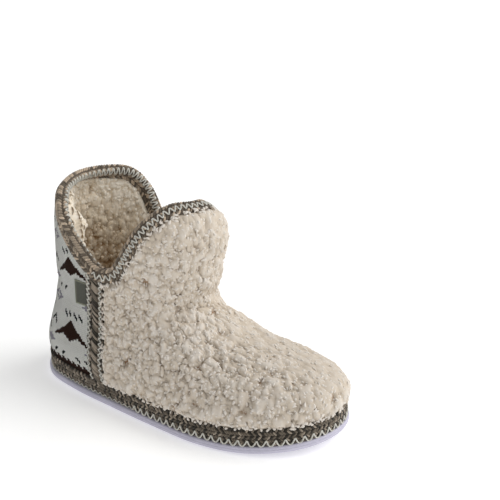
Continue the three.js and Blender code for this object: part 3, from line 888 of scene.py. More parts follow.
def knit_finish(name, yarn):
    """Flat knitted yarn: a V for each stitch, from the map laid over the panel."""
    f = Finish(name)
    pale = max(yarn) > 0.2
    spread = f.node("ShaderNodeSeparateXYZ", Vector=f.node("ShaderNodeUVMap").outputs["UV"])
    across, along = spread.outputs["X"], spread.outputs["Y"]
    side = f.maths("ABSOLUTE", f.maths("SUBTRACT", f.maths("FRACT", across), 0.5))
    lean = f.maths("FRACT", f.maths("MULTIPLY_ADD", side, 1.5, along))
    strand = f.maths("SINE", f.maths("MULTIPLY", lean, math.pi))
    leg = f.maths("SINE", f.maths("MULTIPLY", side, 2 * math.pi))
    stitch = f.maths("MULTIPLY", strand, f.maths("POWER", f.maths("ABSOLUTE", leg), 0.6))
    # Painted shade: the yarn darker in the grooves between the stitches' legs, where the bump dips, with
    # random noise on top
    shade = f.maths("MULTIPLY_ADD", f.noise(1.1 * MM, 3), 0.5, f.maths("MULTIPLY", stitch, 0.55))
    tones = ((0.14, 0.42), (0.42, 0.92), (0.7, 1.12))
    f.surface("Base Color", f.ramp(shade, *((at, shaded(yarn, amount)) for at, amount in tones)))
    f.surface("Roughness", f.maths("MULTIPLY_ADD", f.noise(0.9 * MM), 0.15, 0.8))
    f.surface("Sheen Weight", 0.25 if pale else 0.04)
    f.surface("Sheen Roughness", 0.5)
    f.surface("Specular IOR Level", 0.2 if pale else 0.08)
    loops = f.bump(stitch, 0.7 * MM, 0.9)
    f.surface("Normal", f.bump(f.noise(0.45 * MM, 4, 0.7), 0.25 * MM, 0.5, loops))
    return f.material


def yarn_finish(name, yarn, fibre=0.7, sheen=0.2):
    """Twisted yarn of one colour, with loose fibres."""
    f = Finish(name)
    tone = f.noise(1.6 * MM, 4, 0.65)
    tones = ((0.25, 0.6), (0.5, 1), (0.78, 1.35))
    f.surface("Base Color", f.ramp(tone, *((at, shaded(yarn, amount)) for at, amount in tones)))
    f.surface("Roughness", f.maths("MULTIPLY_ADD", tone, 0.15, 0.78))
    f.surface("Sheen Weight", sheen)
    f.surface("Sheen Roughness", 0.5)
    f.surface("Specular IOR Level", 0.2)
    f.surface("Normal", f.bump(f.noise(fibre * MM, 5, 0.75, 0.8), 0.35 * MM, 0.8))
    return f.material


def rubber_finish(rubber):
    """Light foamed rubber: even colour, faint mould grain, a little dust."""
    f = Finish("sole_rubber_skin")
    tone = f.noise(14 * MM, 4, 0.6)
    f.surface("Base Color", f.ramp(tone, (0.3, shaded(rubber, 0.93)), (0.7, shaded(rubber, 1.04))))
    f.surface("Roughness", f.maths("MULTIPLY_ADD", f.noise(3 * MM, 4), 0.18, 0.42))
    f.surface("Coat Weight", 0.06)
    f.surface("Coat Roughness", 0.4)
    f.surface("Normal", f.bump(f.noise(0.7 * MM, 3, 0.6), 0.08 * MM, 0.6))
    return f.material


def ribbon_finish(cloth):
    """Flat woven ribbon with a fine rib and a paler border."""
    f = Finish("tab_ribbon")
    rib = f.node("ShaderNodeTexWave", Vector=f.place(), Scale=0.32 / MM, Distortion=0.6)
    rib.wave_type = "BANDS"
    rib.bands_direction = "Z"
    tone = f.maths("MULTIPLY_ADD", rib.outputs["Fac"], 0.5, f.maths("MULTIPLY", f.noise(1.2 * MM), 0.5))
    woven = f.ramp(tone, (0.2, shaded(cloth, 0.7)), (0.8, shaded(cloth, 1.3)))
    f.surface("Base Color", f.blend(f.own("edge"), woven, shaded(cloth, 4.5)))
    f.surface("Roughness", 0.72)
    f.surface("Sheen Weight", 0.15)
    f.surface("Normal", f.bump(rib.outputs["Fac"], 0.2 * MM, 0.7))
    return f.material


def floor_finish(paper):
    """Pale studio paper."""
    f = Finish("studio_paper")
    f.surface("Base Color", f.ramp(f.noise(0.4, 2), (0.3, shaded(paper, 0.99)), (0.7, tuple(paper))))
    f.surface("Roughness", 0.9)
    f.surface("Specular IOR Level", 0.1)
    f.surface("Emission Color", (1, 1, 1, 1))
    f.surface("Emission Strength", FLOOR_GLOW)
    return f.material


# Pile


def curled(points, normals, cover, trim, seed, tall, brushed=0.0):
    """Points of a fleece over a base, the height of each from 0 deep to 1 tip, and the way from the
    middle of its clump. brushed is 1 where the pile is combed smooth."""
    swirl = lambda width, amount, k: waves(points, width * MM, seed + k) * amount * MM
    drift = np.stack([swirl(15, 2.6, k) + swirl(5, 0.8, k + 20) for k in range(3)], 1)
    near, second, away, luck = clumps(points + drift, trim.clump, seed)
    parting = 1 - ease(second - near, 0.0, 0.22)
    near2, _, away2, luck2 = clumps(points + drift * 0.8 + away * 0.35, trim.curl, seed + 5)
    dome = np.clip(1 - (near / 0.9) ** 2, 0, 1)
    dome2 = np.clip(1 - (near2 / 0.85) ** 2, 0, 1)
    height = PILE_FLOOR + CLUMP_RISE * dome + CURL_RISE * dome2 - PARTING_CUT * parting
    height += CLUMP_LUCK * (luck[:, 0] - 0.5) + CURL_LUCK * (luck2[:, 0] - 0.5) * dome2
    height += WAVE_RISE * waves(points, 9 * MM, seed + 9)
    height = mix(height, COMBED_HEIGHT + COMBED_RISE * (height - 0.5), brushed)
    lift = (cover * tall * height)[:, None]
    flat = lambda v: v - normals * (v * normals).sum(1, keepdims=True)
    puff = flat(away) * (0.12 * dome * cover)[:, None] + flat(away2) * (0.2 * dome2 * cover)[:, None]
    return points + normals * lift + puff, height, flat(away)


def lock_shape(around=5, rings=5):
    """A plump lock of wool from -1 to 1 along its length, thinner at both ends."""
    t = np.linspace(-1, 1, rings)
    thick = np.sqrt(1 - 0.93 * t**2)
    turn = np.linspace(0, 2 * math.pi, around, endpoint=False) + math.pi / 2
    y, z = np.outer(thick, np.cos(turn)), np.outer(thick, np.sin(turn))
    shape = np.stack([np.repeat(t, around), y.ravel(), z.ravel()], 1)
    return shape, grid_faces(rings, around, wrap_columns=True)[:, ::-1]


def spread_out(form, first, last, low, high, spacing, seed):
    """Scattered places on the cloth, about one for each square of this spacing."""
    luck = np.random.default_rng(seed)
    station = mix(first, last, luck.uniform(size=SCATTER_TRIES))
    share = mix(low, high, luck.uniform(size=SCATTER_TRIES))
    around, up = (form.sample(grid, station, share) for grid in (form.around, form.up))
    area = np.linalg.norm(np.cross(around, up), axis=1)
    kept = luck.uniform(size=SCATTER_TRIES) < area / area.max()
    station, share = station[kept], share[kept]
    cells = np.floor(form.cloth(station, share) / (spacing * 1.22)).astype(np.int64)
    _, chosen = np.unique(cells, axis=0, return_index=True)
    chosen.sort()
    return station[chosen], share[chosen]


def lay_locks(centres, normals, down, height, away, brushed, long, wide, seed):
    """Short curved locks of wool over a fleece: joined points, quads, and a colour level for each point,
    with painted shade on the locks' undersides, at their sunk ends and low in the pile.
    """
    shape, faces = lock_shape()
    luck = np.random.default_rng(seed)
    count = len(centres)
    swirl = np.stack([waves(centres, 9 * MM, seed + k) for k in range(3)], 1)
    loose = unit(away) * 0.5 + swirl * 0.9 + luck.normal(size=(count, 3)) * 0.45 + down * 0.35
    way = mix(loose, down * 1.5 + swirl * 0.35, brushed[:, None])
    way = unit(way - normals * (way * normals).sum(1, keepdims=True))
    wing = np.cross(normals, way)
    grown = luck.uniform(0.75, 1.25, size=(count, 1))
    reach = long * grown * mix(1, 1.35, brushed[:, None])
    girth = wide * luck.uniform(0.8, 1.15, size=(count, 1)) * mix(1, 0.8, brushed[:, None])
    bend = luck.uniform(-0.5, 0.5, size=(count, 1))
    t, y, z = (shape[None, :, k] for k in range(3))
    along = t * reach / 2
    across = y * girth / 2 + bend * reach * (t**2 - 0.4) * 0.6
    rise = (z * 0.42 - t**2 * 0.55) * girth * mix(1, 0.6, brushed[:, None])
    copies = centres[:, None] + sum(
        axis[:, None] * amount[..., None] for axis, amount in ((way, along), (wing, across), (normals, rise))
    )
    # Painted shade: each lock darker on its underside and at its ends, which dip into the pile, and darker
    # the lower it sits in the pile, with a random spread of its own
    side = np.clip(0.5 + 0.62 * z - 0.22 * t**2, 0, 1)
    tone = mix(0.12, 1.0, ease(side, 0.02, 0.7)) * mix(0.72, 1.08, height[:, None])
    tone = tone + luck.uniform(-0.08, 0.08, (count, 1))
    # Combed locks get less of this painted shade
    tone = mix(tone, 0.25 + 0.75 * tone, brushed[:, None])
    points, quads = joined(faces, copies)
    return points, quads, np.clip(tone, 0, 1).ravel()


def combed(station, share, over_toe, at_lip, begin, full, fade, end):
    """How smoothly the vamp's pile is combed: over the toe, between four stations, and at its lip."""
    low = ease(share, 0.05, 0.16) * (1 - ease(share, 0.5, 0.62))
    toe = over_toe * ease(station, begin, full) * (1 - ease(station, fade, end)) * low
    return np.maximum(toe, at_lip * ease(share, 0.84, 0.93))


def wool_piece(context, name, finish_name, mesh, height, pile, node):
    """A fleece or its locks as a piece, with a colour level for each point for the finish: the pile's
    height, with painted shade in it.
    """
    colours = context.scene.boot_colours
    piece = make_mesh(name, *mesh, [fleece_finish(finish_name, colours, pile)])
    note(piece, "height", height)
    return seat(piece, node)


def make_vamp(context):
    """Curly fleece over the front of the boot, from seam to seam."""
    form, _, trim, _ = boot(context)
    across, rows = VAMP_GRID
    share = np.linspace(0.0, 1.0, rows)
    reach = lambda seam: (trim.seam_band / 2 - TUCK) / form.speed(seam, share)
    first = OUTER_SEAM + reach(OUTER_SEAM)
    last = INNER_SEAM - reach(INNER_SEAM)
    station = mix(first[None], last[None], np.linspace(0, 1, across)[:, None])
    length = form.length(station)
    bottom = 0.6 * trim.foot_band / length
    top = 1 - 0.4 * trim.binding / length / form.squareness(station)
    share = mix(bottom, top, share[None])
    base, normal = form.cloth(station, share), form.normal(station, share)
    steps = np.linalg.norm(np.diff(base, axis=0), axis=2)
    run = np.concatenate([np.zeros((1, rows)), np.cumsum(steps, 0)])
    beside = np.minimum(run, run[-1:] - run) - TUCK
    above = share * length - trim.foot_band
    below = form.under_rim(station, share) - trim.binding
    cover = ease(np.minimum(np.minimum(beside, above), below), *VAMP_SPREAD).ravel()
    base, normal = base.reshape(-1, 3), normal.reshape(-1, 3)
    sunk = base - normal * dents(form, base, VAMP_CREASES)[:, None] + normal * HAIR
    brushed = combed(station, share, *VAMP_COMBING).ravel()
    tall = trim.pile * VAMP_TALL
    points, height, _ = curled(sunk, normal, cover, trim, VAMP_SEED, tall, brushed)
    mesh = points, grid_faces(across, rows)
    # Painted shade: the fleece under the locks is coloured a tenth lower in the pile than it lies, so it
    # reads darker between them
    return wool_piece(context, "vamp_fleece", "vamp_curls", mesh, height * 0.9, "fleece", "upper")


def make_vamp_locks(context):
    """Loose locks of wool that stand out of the vamp's fleece, down to its ragged lower edge."""
    form, _, trim, _ = boot(context)
    edge = 0.9 * trim.foot_band / form.lengths.max()
    places, shapes = VAMP_LOCK_SEEDS
    station, share = spread_out(form, OUTER_SEAM, INNER_SEAM, edge, 1.0, trim.lock_spacing, places)
    seam = np.where(station < TOE, OUTER_SEAM, INNER_SEAM)
    beside = np.abs(station - seam) * form.speed(seam, share) - trim.seam_band / 2 + SEAM_SPILL
    above = share * form.length(station) - trim.foot_band
    below = form.under_rim(station, share) - 0.85 * trim.binding
    free = np.minimum(np.minimum(beside, above), below)
    kept = free > -VAMP_SPILL
    station, share, free = station[kept], share[kept], free[kept]
    brushed = combed(station, share, *LOCK_COMBING)
    base, normal = form.cloth(station, share), form.normal(station, share)
    cover = ease(free, *VAMP_LOCK_SPREAD)
    sunk = base - normal * dents(form, base, VAMP_CREASES)[:, None]
    tall = trim.pile * VAMP_LOCK_TALL
    points, height, away = curled(sunk, normal, cover, trim, VAMP_SEED, tall, brushed)
    points -= normal * (LOCK_SUNK * trim.lock_width)
    down = -unit(form.sample(form.up, station, share))
    long, wide = trim.lock_length, trim.lock_width
    locks = lay_locks(points, normal, down, height, away, brushed, long, wide, shapes)
    # The locks' height on their points is their colour level, with their painted shade in it
    return wool_piece(context, "vamp_locks", "vamp_curls", locks[:2], locks[2], "fleece", "upper")


def inner_painted_shade(share):
    """Painted shade: the lining's wool darker and browner from the collar down into the boot, where less
    light reaches.
    """
    return mix(0.4, 1.0, ease(share, 0.6, 0.88))


def lined(form, s, trim, station, share, spread):
    """The lining's fleece at places of the cloth: points, height, clump way and inward normal."""
    cover = ease(form.under_rim(station, share) - trim.binding, *spread).ravel()
    base, normal = form.cloth(station, share), form.normal(station, share)
    base, normal = base.reshape(-1, 3), -normal.reshape(-1, 3)
    rise = s.cloth + HAIR + dents(form, base, LINING_CREASES) * cover
    start = base + normal * rise[:, None]
    tall = trim.lining_pile * LINING_TALL
    return *curled(start, normal, cover, trim, LINING_SEED, tall), normal


def make_lining(context):
    """Fleece lining inside the whole boot."""
    form, s, trim, _ = boot(context)
    back, front, rows = LINING_GRID
    behind = np.linspace(-OUTER_SEAM, OUTER_SEAM, back, endpoint=False)
    ahead = np.linspace(OUTER_SEAM, INNER_SEAM, front, endpoint=False)
    station = np.concatenate([behind, ahead])[:, None]
    top = 1 - 0.3 * trim.binding / form.length(station)
    share = mix(0.02, top, np.linspace(0, 1, rows)[None])
    points, height, _, _ = lined(form, s, trim, station, share, LINING_SPREAD)
    # Painted shade: the lining darker deeper in the boot
    height = height * inner_painted_shade(share).ravel()
    mesh = points, grid_faces(back + front, rows, wrap_rows=True)[:, ::-1]
    return wool_piece(context, "lining_fleece", "lining_curls", mesh, height, "lining", "upper")


def make_lining_locks(context):
    """Loose locks of wool on the part of the lining that shows through the collar."""
    form, s, trim, _ = boot(context)
    places, shapes = LINING_LOCK_SEEDS
    spacing = LINING_LOCK_LONG * trim.lock_spacing
    station, share = spread_out(form, 0, TURN, 0.5, 1.0, spacing, places)
    kept = form.under_rim(station, share) - trim.binding > -0.4 * MM
    station, share = station[kept], share[kept]
    points, height, away, normal = lined(form, s, trim, station, share, LINING_LOCK_SPREAD)
    points -= normal * (LINING_LOCK_SUNK * trim.lock_width)
    down = -unit(form.sample(form.up, station, share))
    calm = np.full(len(points), 0.1)
    long, wide = LINING_LOCK_LONG * trim.lock_length, LINING_LOCK_WIDE * trim.lock_width
    points, quads, height = lay_locks(points, normal, down, height, away, calm, long, wide, shapes)
    # Painted shade: the lining's locks darker deeper in the boot
    height = height * np.repeat(inner_painted_shade(share), len(height) // len(share))
    name = "lining_lock_curls"
    return wool_piece(context, "lining_locks", name, (points, quads), height, "lining", "upper")


def make_knit(context):
    """Knitted panel round the back, with a charted pattern in four yarns."""
    form, _, trim, c = boot(context)
    middle = 0.5
    tucked = lambda seam, share: OUTER_SEAM - (trim.seam_band / 2 - TUCK) / form.speed(seam, share)
    reach = tucked(OUTER_SEAM, middle)
    ring = form.cloth(np.linspace(-reach, reach, 200), np.full(200, middle))
    wales = int(arc(ring)[-1] / trim.wale)
    courses = int(form.length(0) / trim.course) + 1
    columns, rows = wales * KNIT_FINE + 1, courses * KNIT_FINE + 1
    climb = np.arange(rows) * trim.course / KNIT_FINE
    station = np.linspace(-reach, reach, columns)[:, None]
    length = form.length(station)
    edge = 0.45 * trim.binding / form.squareness(station)
    goal = np.minimum(climb[None], length - edge)
    share = goal / length
    seam = np.where(station > 0, OUTER_SEAM, -OUTER_SEAM)
    station = station / reach * tucked(seam, share)
    base, normal = form.cloth(station, share), form.normal(station, share)
    base, normal = base.reshape(-1, 3), normal.reshape(-1, 3)
    wale = np.broadcast_to((np.arange(columns) / KNIT_FINE)[:, None], share.shape).ravel()
    course = (goal / trim.course).ravel()
    rib, loop = (0.5 + 0.5 * np.cos((count - 0.5) * 2 * math.pi) for count in (wale, course))
    slow = waves(base, 30 * MM, KNIT_SEED)
    lift = (KNIT_LIFT + RIB_RISE * rib + LOOP_RISE * loop) * MM + slow * KNIT_WAVE * MM
    lift -= dents(form, base, KNIT_CREASES)
    points = base + normal * lift[:, None]
    quads = grid_faces(columns, rows)
    quads = quads[np.ptp(course[quads], axis=1) > 1e-3]
    at_wale, at_course = (np.floor(count[quads].mean(1)).astype(int) for count in (wale, course))
    first = int(trim.foot_band / trim.course)
    yarn = np.array([chart_yarn(w, k - first) for w, k in zip(at_wale, at_course)])
    names = ("knit_ground", "knit_black", "knit_brown", "knit_grey")
    materials = [knit_finish(name, getattr(c, name)) for name in names]
    piece = make_mesh("back_knit", points, quads, materials, yarn)
    lay_map(piece, wale, course)
    return seat(piece, "upper")


def chart_yarn(wale, course):
    """Which yarn a stitch is knitted in, counted up from the foot band."""
    if course < 0:
        return 0
    if course < len(HEM_CHART):
        row = HEM_CHART[-1 - course]
    else:
        row = KNIT_CHART[-1 - (course - len(HEM_CHART)) % len(KNIT_CHART)]
    return YARNS.index(row[wale % len(row)])


# Braid


class Strip:
    """A band of surface that braid and stitches lie on: points along and across it."""

    def __init__(self, points, outward, closed):
        self.points = np.concatenate([points, points[:1]]) if closed else points
        outward = np.concatenate([outward, outward[:1]]) if closed else outward
        self.closed = closed
        middle = self.points[:, self.points.shape[1] // 2]
        self.along = arc(middle)
        self.length = self.along[-1]
        wide = np.linalg.norm(np.diff(self.points, axis=1), axis=2).mean(0)
        self.across = np.concatenate([[0], np.cumsum(wide)])
        self.width = self.across[-1]
        run = np.gradient(self.points, axis=0)
        if closed:
            run[0] = run[-1] = self.points[1] - self.points[-2]
        side = np.gradient(self.points, axis=1)
        self.run = unit(run)
        normal = unit(np.cross(run, side))
        self.facing = np.sign((normal * outward).sum(-1).sum())
        self.normal = normal * self.facing

    def sample(self, grid, along, across):
        along = np.mod(along, self.length) if self.closed else np.clip(along, 0, self.length)
        i = np.interp(along, self.along, np.arange(len(self.along)))
        j = np.interp(across, self.across, np.arange(len(self.across)))
        a = np.minimum(np.floor(i).astype(int), len(self.along) - 2)
        b = np.minimum(np.floor(j).astype(int), len(self.across) - 2)
        u, v = (i - a)[..., None], (j - b)[..., None]
        return mix(mix(grid[a, b], grid[a, b + 1], v), mix(grid[a + 1, b], grid[a + 1, b + 1], v), u)

    def at(self, along, across, lift):
        """Points over the strip, raised by a lift."""
        over = self.out(along, across) * np.asarray(lift)[..., None]
        return self.sample(self.points, along, across) + over

    def out(self, along, across):
        return unit(self.sample(self.normal, along, across))

    def ahead(self, along, across):
        return unit(self.sample(self.run, along, across))


def strand_shape(around=6, rings=6):
    """A spindle from -1 to 1 in each direction, blunt at its ends."""
    t = np.linspace(-1, 1, rings)
    thick = (1 - np.abs(t) ** 3.2) ** 0.6
    thick[0] = thick[-1] = 0.12
    turn = np.linspace(0, 2 * math.pi, around, endpoint=False)
    x = np.repeat(t, around)
    y = np.outer(thick, np.cos(turn)).ravel()
    z = np.outer(thick, np.sin(turn)).ravel()
    return np.stack([x, y, z], 1), grid_faces(rings, around, wrap_columns=True)[:, ::-1]


def lay_strands(strip, rows, seed, bars=0.0):
    """Short strands side by side along a strip, from a table of strands. bars is the spacing of
    darker bars across the strip, or 0 for none. Returns points, quads and each point's tone."""
    shape, faces = strand_shape()
    luck = np.random.default_rng(seed)
    every, tones = [], []
    for across, lean, long, wide, high, pitch, start in zip(*rows.values()):
        count = max(3, int(strip.length / (pitch * MM)))
        step = strip.length / count
        along = (np.arange(count) + start) * step
        place = np.full(count, across * strip.width)
        turn = math.radians(lean) + luck.normal(size=count) * 0.06
        out, ahead = strip.out(along, place), strip.ahead(along, place)
        side = np.cross(out, ahead)
        way = ahead * np.cos(turn)[:, None] + side * np.sin(turn)[:, None]
        wing = np.cross(out, way)
        centre = strip.at(along, place, HAIR)
        grown = 1 + luck.uniform(-0.08, 0.08, size=(count, 1))
        sizes = [v * MM * grown for v in (long, wide, high)]
        copies = centre[:, None] + sum(
            axis[:, None] * (shape[None, :, k : k + 1] * amount[:, None])
            for k, (axis, amount) in enumerate(zip((way, wing, out), sizes))
        )
        sag = -(shape[None, :, :1] ** 2) * out[:, None] * (0.28 * high * MM)
        every.append(copies + sag)
        tone = luck.uniform(0, 1, count)
        if bars:
            tone = 0.45 * tone + 0.55 * (0.5 + 0.5 * np.cos(2 * math.pi * along / bars))
        tones.append(np.repeat(tone, len(shape)))
    points, quads = joined(faces, np.concatenate(every))
    return points, quads, np.concatenate(tones)


def lay_cord(strip, along, across, lift, thickness, sides=5):
    """A round cord over a strip, along a line of places on it."""
    centre = strip.at(along, across, lift)
    ahead = unit(np.gradient(centre, axis=0))
    side = unit(np.cross(strip.out(along, across), ahead))
    out = np.cross(ahead, side)
    turn = np.linspace(0, 2 * math.pi, sides, endpoint=False)
    ring = side[:, None] * np.cos(turn)[None, :, None] + out[:, None] * np.sin(turn)[None, :, None]
    points = centre[:, None] + ring * thickness / 2
    return points.reshape(-1, 3), grid_faces(len(centre), sides, wrap_columns=True)[:, ::-1]


def zigzag(strip, low, high, pitch, thickness, lift, sharp=0, lean=0, narrow=1, start=0, stop=1):
    """A stitching thread that goes to and fro between two lines of a strip, in shares of its
    width. sharp goes from 0, a round wave, to 1, a plain zigzag; narrow above 1 makes slim peaks
    with wide dips. start and stop are where it begins and ends, in shares of the strip's length."""
    run = strip.length * (stop - start)
    count = max(2, int(run / pitch))
    t = np.linspace(0, count, count * WAVE_POINTS + 1)
    wave = np.sin(2 * math.pi * t)
    saw = 2 / math.pi * np.arcsin(np.clip(wave, -1, 1))
    place = mix(low, high, (0.5 + 0.5 * mix(wave, saw, sharp)) ** narrow) * strip.width
    along = start * strip.length + (t + lean * np.sin(4 * math.pi * t)) * run / count
    over = lift + 0.25 * thickness * np.abs(np.cos(2 * math.pi * t))
    return lay_cord(strip, along, place, over, thickness)


def merged(*parts):
    """Several meshes as one: points, quads and how many quads each part has."""
    points, quads, counts, start = [], [], [], 0
    for p, q in parts:
        points.append(p)
        quads.append(q + start)
        counts.append(len(q))
        start += len(p)
    return np.concatenate(points), np.concatenate(quads), counts


def tape(strip, thickness):
    """The woven ground under the strands: the strip's face with its edges turned down."""
    face = strip.points[:-1] if strip.closed else strip.points
    normal = strip.normal[:-1] if strip.closed else strip.normal
    down = normal * thickness
    sheet = np.concatenate([face[:, :1] - down[:, :1], face, face[:, -1:] - down[:, -1:]], 1)
    quads = grid_faces(sheet.shape[0], sheet.shape[1], wrap_rows=strip.closed)
    return sheet.reshape(-1, 3), quads if strip.facing > 0 else quads[:, ::-1]


def braid_piece(context, name, strip, rows, stitches, seed, node, yarns, bars=0.0):
    """One braid: its woven ground, its strands in three tones, and its light stitching. yarns is
    braid or collar, the first word of its colours' names."""
    c = context.scene.boot_colours
    dark, middle, light = (getattr(c, yarns + tone) for tone in ("_dark", "_mid", "_light"))
    ground = tape(strip, context.scene.boot_trim.braid * 0.7)
    points, quads, tones = lay_strands(strip, rows, seed, bars)
    all_points, all_quads, counts = merged(ground, (points, quads), *stitches)
    strand = 1 + np.digitize(tones[quads[:, 0]], STRAND_TONES)
    yarn = np.concatenate([np.zeros(counts[0]), strand, np.full(sum(counts[2:]), 4)])
    materials = [
        # Painted shade: the ground, seen in the gaps between the strands, is a darkened copy of the darkest
        # yarn
        yarn_finish(name + "_ground", shaded(dark, 0.8)),
        yarn_finish(name + "_dark", dark),
        yarn_finish(name + "_middle", middle),
        yarn_finish(name + "_light", light),
        yarn_finish(name + "_thread", c.stitch, 0.5, 0.35),
    ]
    piece = make_mesh(name, all_points, all_quads, materials, yarn)
    return seat(piece, node)


def make_foot_band(context):
    """Herringbone braid round the foot, with light V stitches along its lower edge."""
    form, s, trim, _ = boot(context)
    around, rows = BAND_GRID
    station = np.linspace(0, TURN, around, endpoint=False)[:, None]
    share = np.linspace(0, 1, rows)[None] * (trim.foot_band - 0.6 * MM) / form.length(station)
    points = form.cloth(station, share, np.full(share.shape, s.clearance + BAND_LIFT * trim.braid))
    points[:, 0, 2] = np.maximum(points[:, 0, 2], s.sole_thickness + s.clearance)
    strip = Strip(points, form.normal(station, share), closed=True)
    share_at = lambda place: strip.along[int(place / TURN * around)] / strip.length
    heel_end, heel_start = share_at(6), share_at(14)
    toe = {"start": heel_end, "stop": heel_start}
    heel = {"start": heel_start, "stop": 1 + heel_end}
    inner_toe = {"start": share_at(10.8), "stop": share_at(14.4)}
    thick = 1.15 * trim.thread
    stitches = [
        zigzag(strip, 0.02, 0.42, 6.3 * MM, thick, 1.0 * MM, sharp=0.8, narrow=1.9, **toe),
        zigzag(strip, 0.02, 0.18, 5.2 * MM, 0.6 * thick, 0.7 * MM, sharp=0.4, **heel),
        zigzag(strip, 0.84, 0.98, 5.2 * MM, 0.8 * thick, 1.0 * MM, sharp=0.6, **inner_toe),
    ]
    name, bars = "foot_band_braid", 4.6 * MM
    return braid_piece(context, name, strip, FOOT_STRANDS, stitches, FOOT_SEED, "foot_band", "braid", bars)


def make_seam_bands(context):
    """Upright braids over the two side seams, with a light wave stitch along each edge."""
    form, s, trim, _ = boot(context)
    rows, columns = SEAM_GRID
    sides = (("outer", OUTER_SEAM, OUTER_SEED, 52), ("inner", INNER_SEAM, INNER_SEED, -52))
    for side, seam, seed, lean in sides:
        length = form.length(seam)
        low = (trim.foot_band - 0.3 * MM) / length
        high = 1 - (trim.binding - 1.0 * MM) / length
        share = np.linspace(low, high, rows)[:, None]
        across = np.linspace(-1, 1, columns)[None] * (trim.seam_band / 2 - 0.4 * MM)
        station = seam + across / form.speed(seam, share)
        share = np.broadcast_to(share, station.shape)
        points = form.cloth(station, share, np.full(share.shape, s.clearance + SEAM_LIFT * trim.braid))
        strip = Strip(points, form.normal(station, share), closed=False)
        strands = table(
            STRAND_COLUMNS,
            (0.1, 90 - lean, 1.9, 0.75, 0.75, 2.0, 0.1),
            (0.24, lean - 90, 1.9, 0.75, 0.8, 2.0, 0.6),
            (0.5, lean, 4.6, 0.85, 1.2, 1.9, 0.3),
            (0.76, 90 - lean, 1.9, 0.75, 0.8, 2.0, 0.6),
            (0.9, lean - 90, 1.9, 0.75, 0.75, 2.0, 0.5),
        )
        stitches = [
            zigzag(strip, first, first + 0.18, 3.8 * MM, trim.thread, 0.8 * MM, lean=0.1)
            for first in (0.07, 0.75)
        ]
        name, node = "seam_braid_" + side, "seam_band_" + side
        braid_piece(context, name, strip, strands, stitches, seed, node, "braid")


def make_binding(context):
    """Rolled braid over the collar's edge, inside and out, with light zigzag stitches."""
    form, s, trim, _ = boot(context)
    around, down, over = BINDING_GRID
    station = np.linspace(0, TURN, around, endpoint=False)
    out = s.clearance + BAND_LIFT * trim.braid
    flank, inside = [], []
    for depth in np.linspace(trim.binding - 0.3 * MM, 0, down):
        place, share = form.below_rim(station, np.full(station.shape, depth))
        flank.append(form.cloth(place, share, np.full(station.shape, out)))
        inside.append(form.cloth(place, share, np.full(station.shape, -s.cloth - out)))
    outer_top, inner_top = flank[-1], inside[-1]
    up = unit(flank[-1] - flank[0])
    middle = (outer_top + inner_top) / 2
    radius = np.linalg.norm(outer_top - inner_top, axis=1, keepdims=True) / 2
    side = unit(outer_top - inner_top)
    crown = [
        middle + side * radius * math.cos(a) + up * (radius * 0.75) * math.sin(a)
        for a in np.linspace(0, math.pi, over)[1:-1]
    ]
    points = np.stack(flank + crown + inside[::-1], 1)
    centre = middle - up * 2 * MM
    strip = Strip(points, points - centre[:, None], closed=True)
    first, last = (strip.along[seam * around // TURN] / strip.length for seam in (OUTER_SEAM, INNER_SEAM))
    pitch, thread, lift = 4.1 * MM, 1.1 * trim.thread, 1.05 * MM
    stitches = [
        zigzag(strip, 0.12, 0.29, pitch, thread, lift, sharp=0.3, start=first, stop=last),
        zigzag(strip, 0.56, 0.75, pitch, thread, lift, sharp=0.4, start=last, stop=1 + first),
    ]
    name, node = "collar_braid", "collar_binding"
    return braid_piece(context, name, strip, COLLAR_STRANDS, stitches, COLLAR_SEED, node, "collar")


# Tab, footbed and sole


def make_tab(context):
    """A plain folded ribbon that stands out from under the outer seam's braid, straight back."""
    form, s, trim, c = boot(context)
    rows, steps, round_steps = TAB_GRID
    half = TAB_CLOTH / 2
    length = form.length(OUTER_SEAM)
    top = 1 - (trim.binding + trim.tab_drop) / length
    share = np.linspace(top - trim.tab_height / length, top, rows)
    station = OUTER_SEAM - (trim.seam_band / 2 + s.clearance) / form.speed(OUTER_SEAM, share)
    root = form.cloth(station, share, np.full(rows, trim.tab_lift))
    upward = unit(root[-1] - root[0])
    outward = form.normal(station, share).mean(0)
    outward = unit(outward - upward * (outward @ upward))
    back = np.cross(outward, upward)
    turn = np.linspace(-math.pi / 2, math.pi / 2, round_steps)
    leaf = np.linspace(0, 1, steps) * trim.tab_width
    run = np.concatenate([leaf, trim.tab_width + half * np.cos(turn), leaf[::-1]])
    fold = np.concatenate([np.full(steps, -half), half * np.sin(turn), np.full(steps, half)])
    ripple = TAB_RIPPLE * np.sin(np.linspace(0, 5, rows))[:, None] * (run / trim.tab_width)[None]
    away = fold[None] + ripple + half
    points = root[:, None] + back * run[None, :, None] + outward * away[..., None]
    count = points.shape[1]
    k = np.arange(count // 2 - 1)
    cap = np.stack([k, k + 1, count - 2 - k, count - 1 - k], 1)
    ends = [cap, cap[:, ::-1] + (rows - 1) * count]
    quads = np.concatenate([grid_faces(rows, count, wrap_columns=True), *ends])[:, ::-1]
    piece = make_mesh("side_ribbon", points.reshape(-1, 3), quads, [ribbon_finish(c.tab)])
    tall = np.linspace(0, trim.tab_height, rows)[:, None]
    inward = np.minimum(np.minimum(tall, trim.tab_height - tall), trim.tab_width - run[None])
    note(piece, "edge", 1 - ease(inward, 0.5 * MM, 1.1 * MM))
    return seat(piece, "side_tab")


def sole_rings(form, station, insets, heights):
    """Rings of the sole's outline, each moved in and up by its own amount."""
    point, out = form.edge(station)
    rings = []
    for inset, height in zip(insets, heights):
        p = point - out * inset
        p[:, 2] = height + form.spring(p[:, 0])
        rings.append(p + form.shift)
    return np.stack(rings, 1)


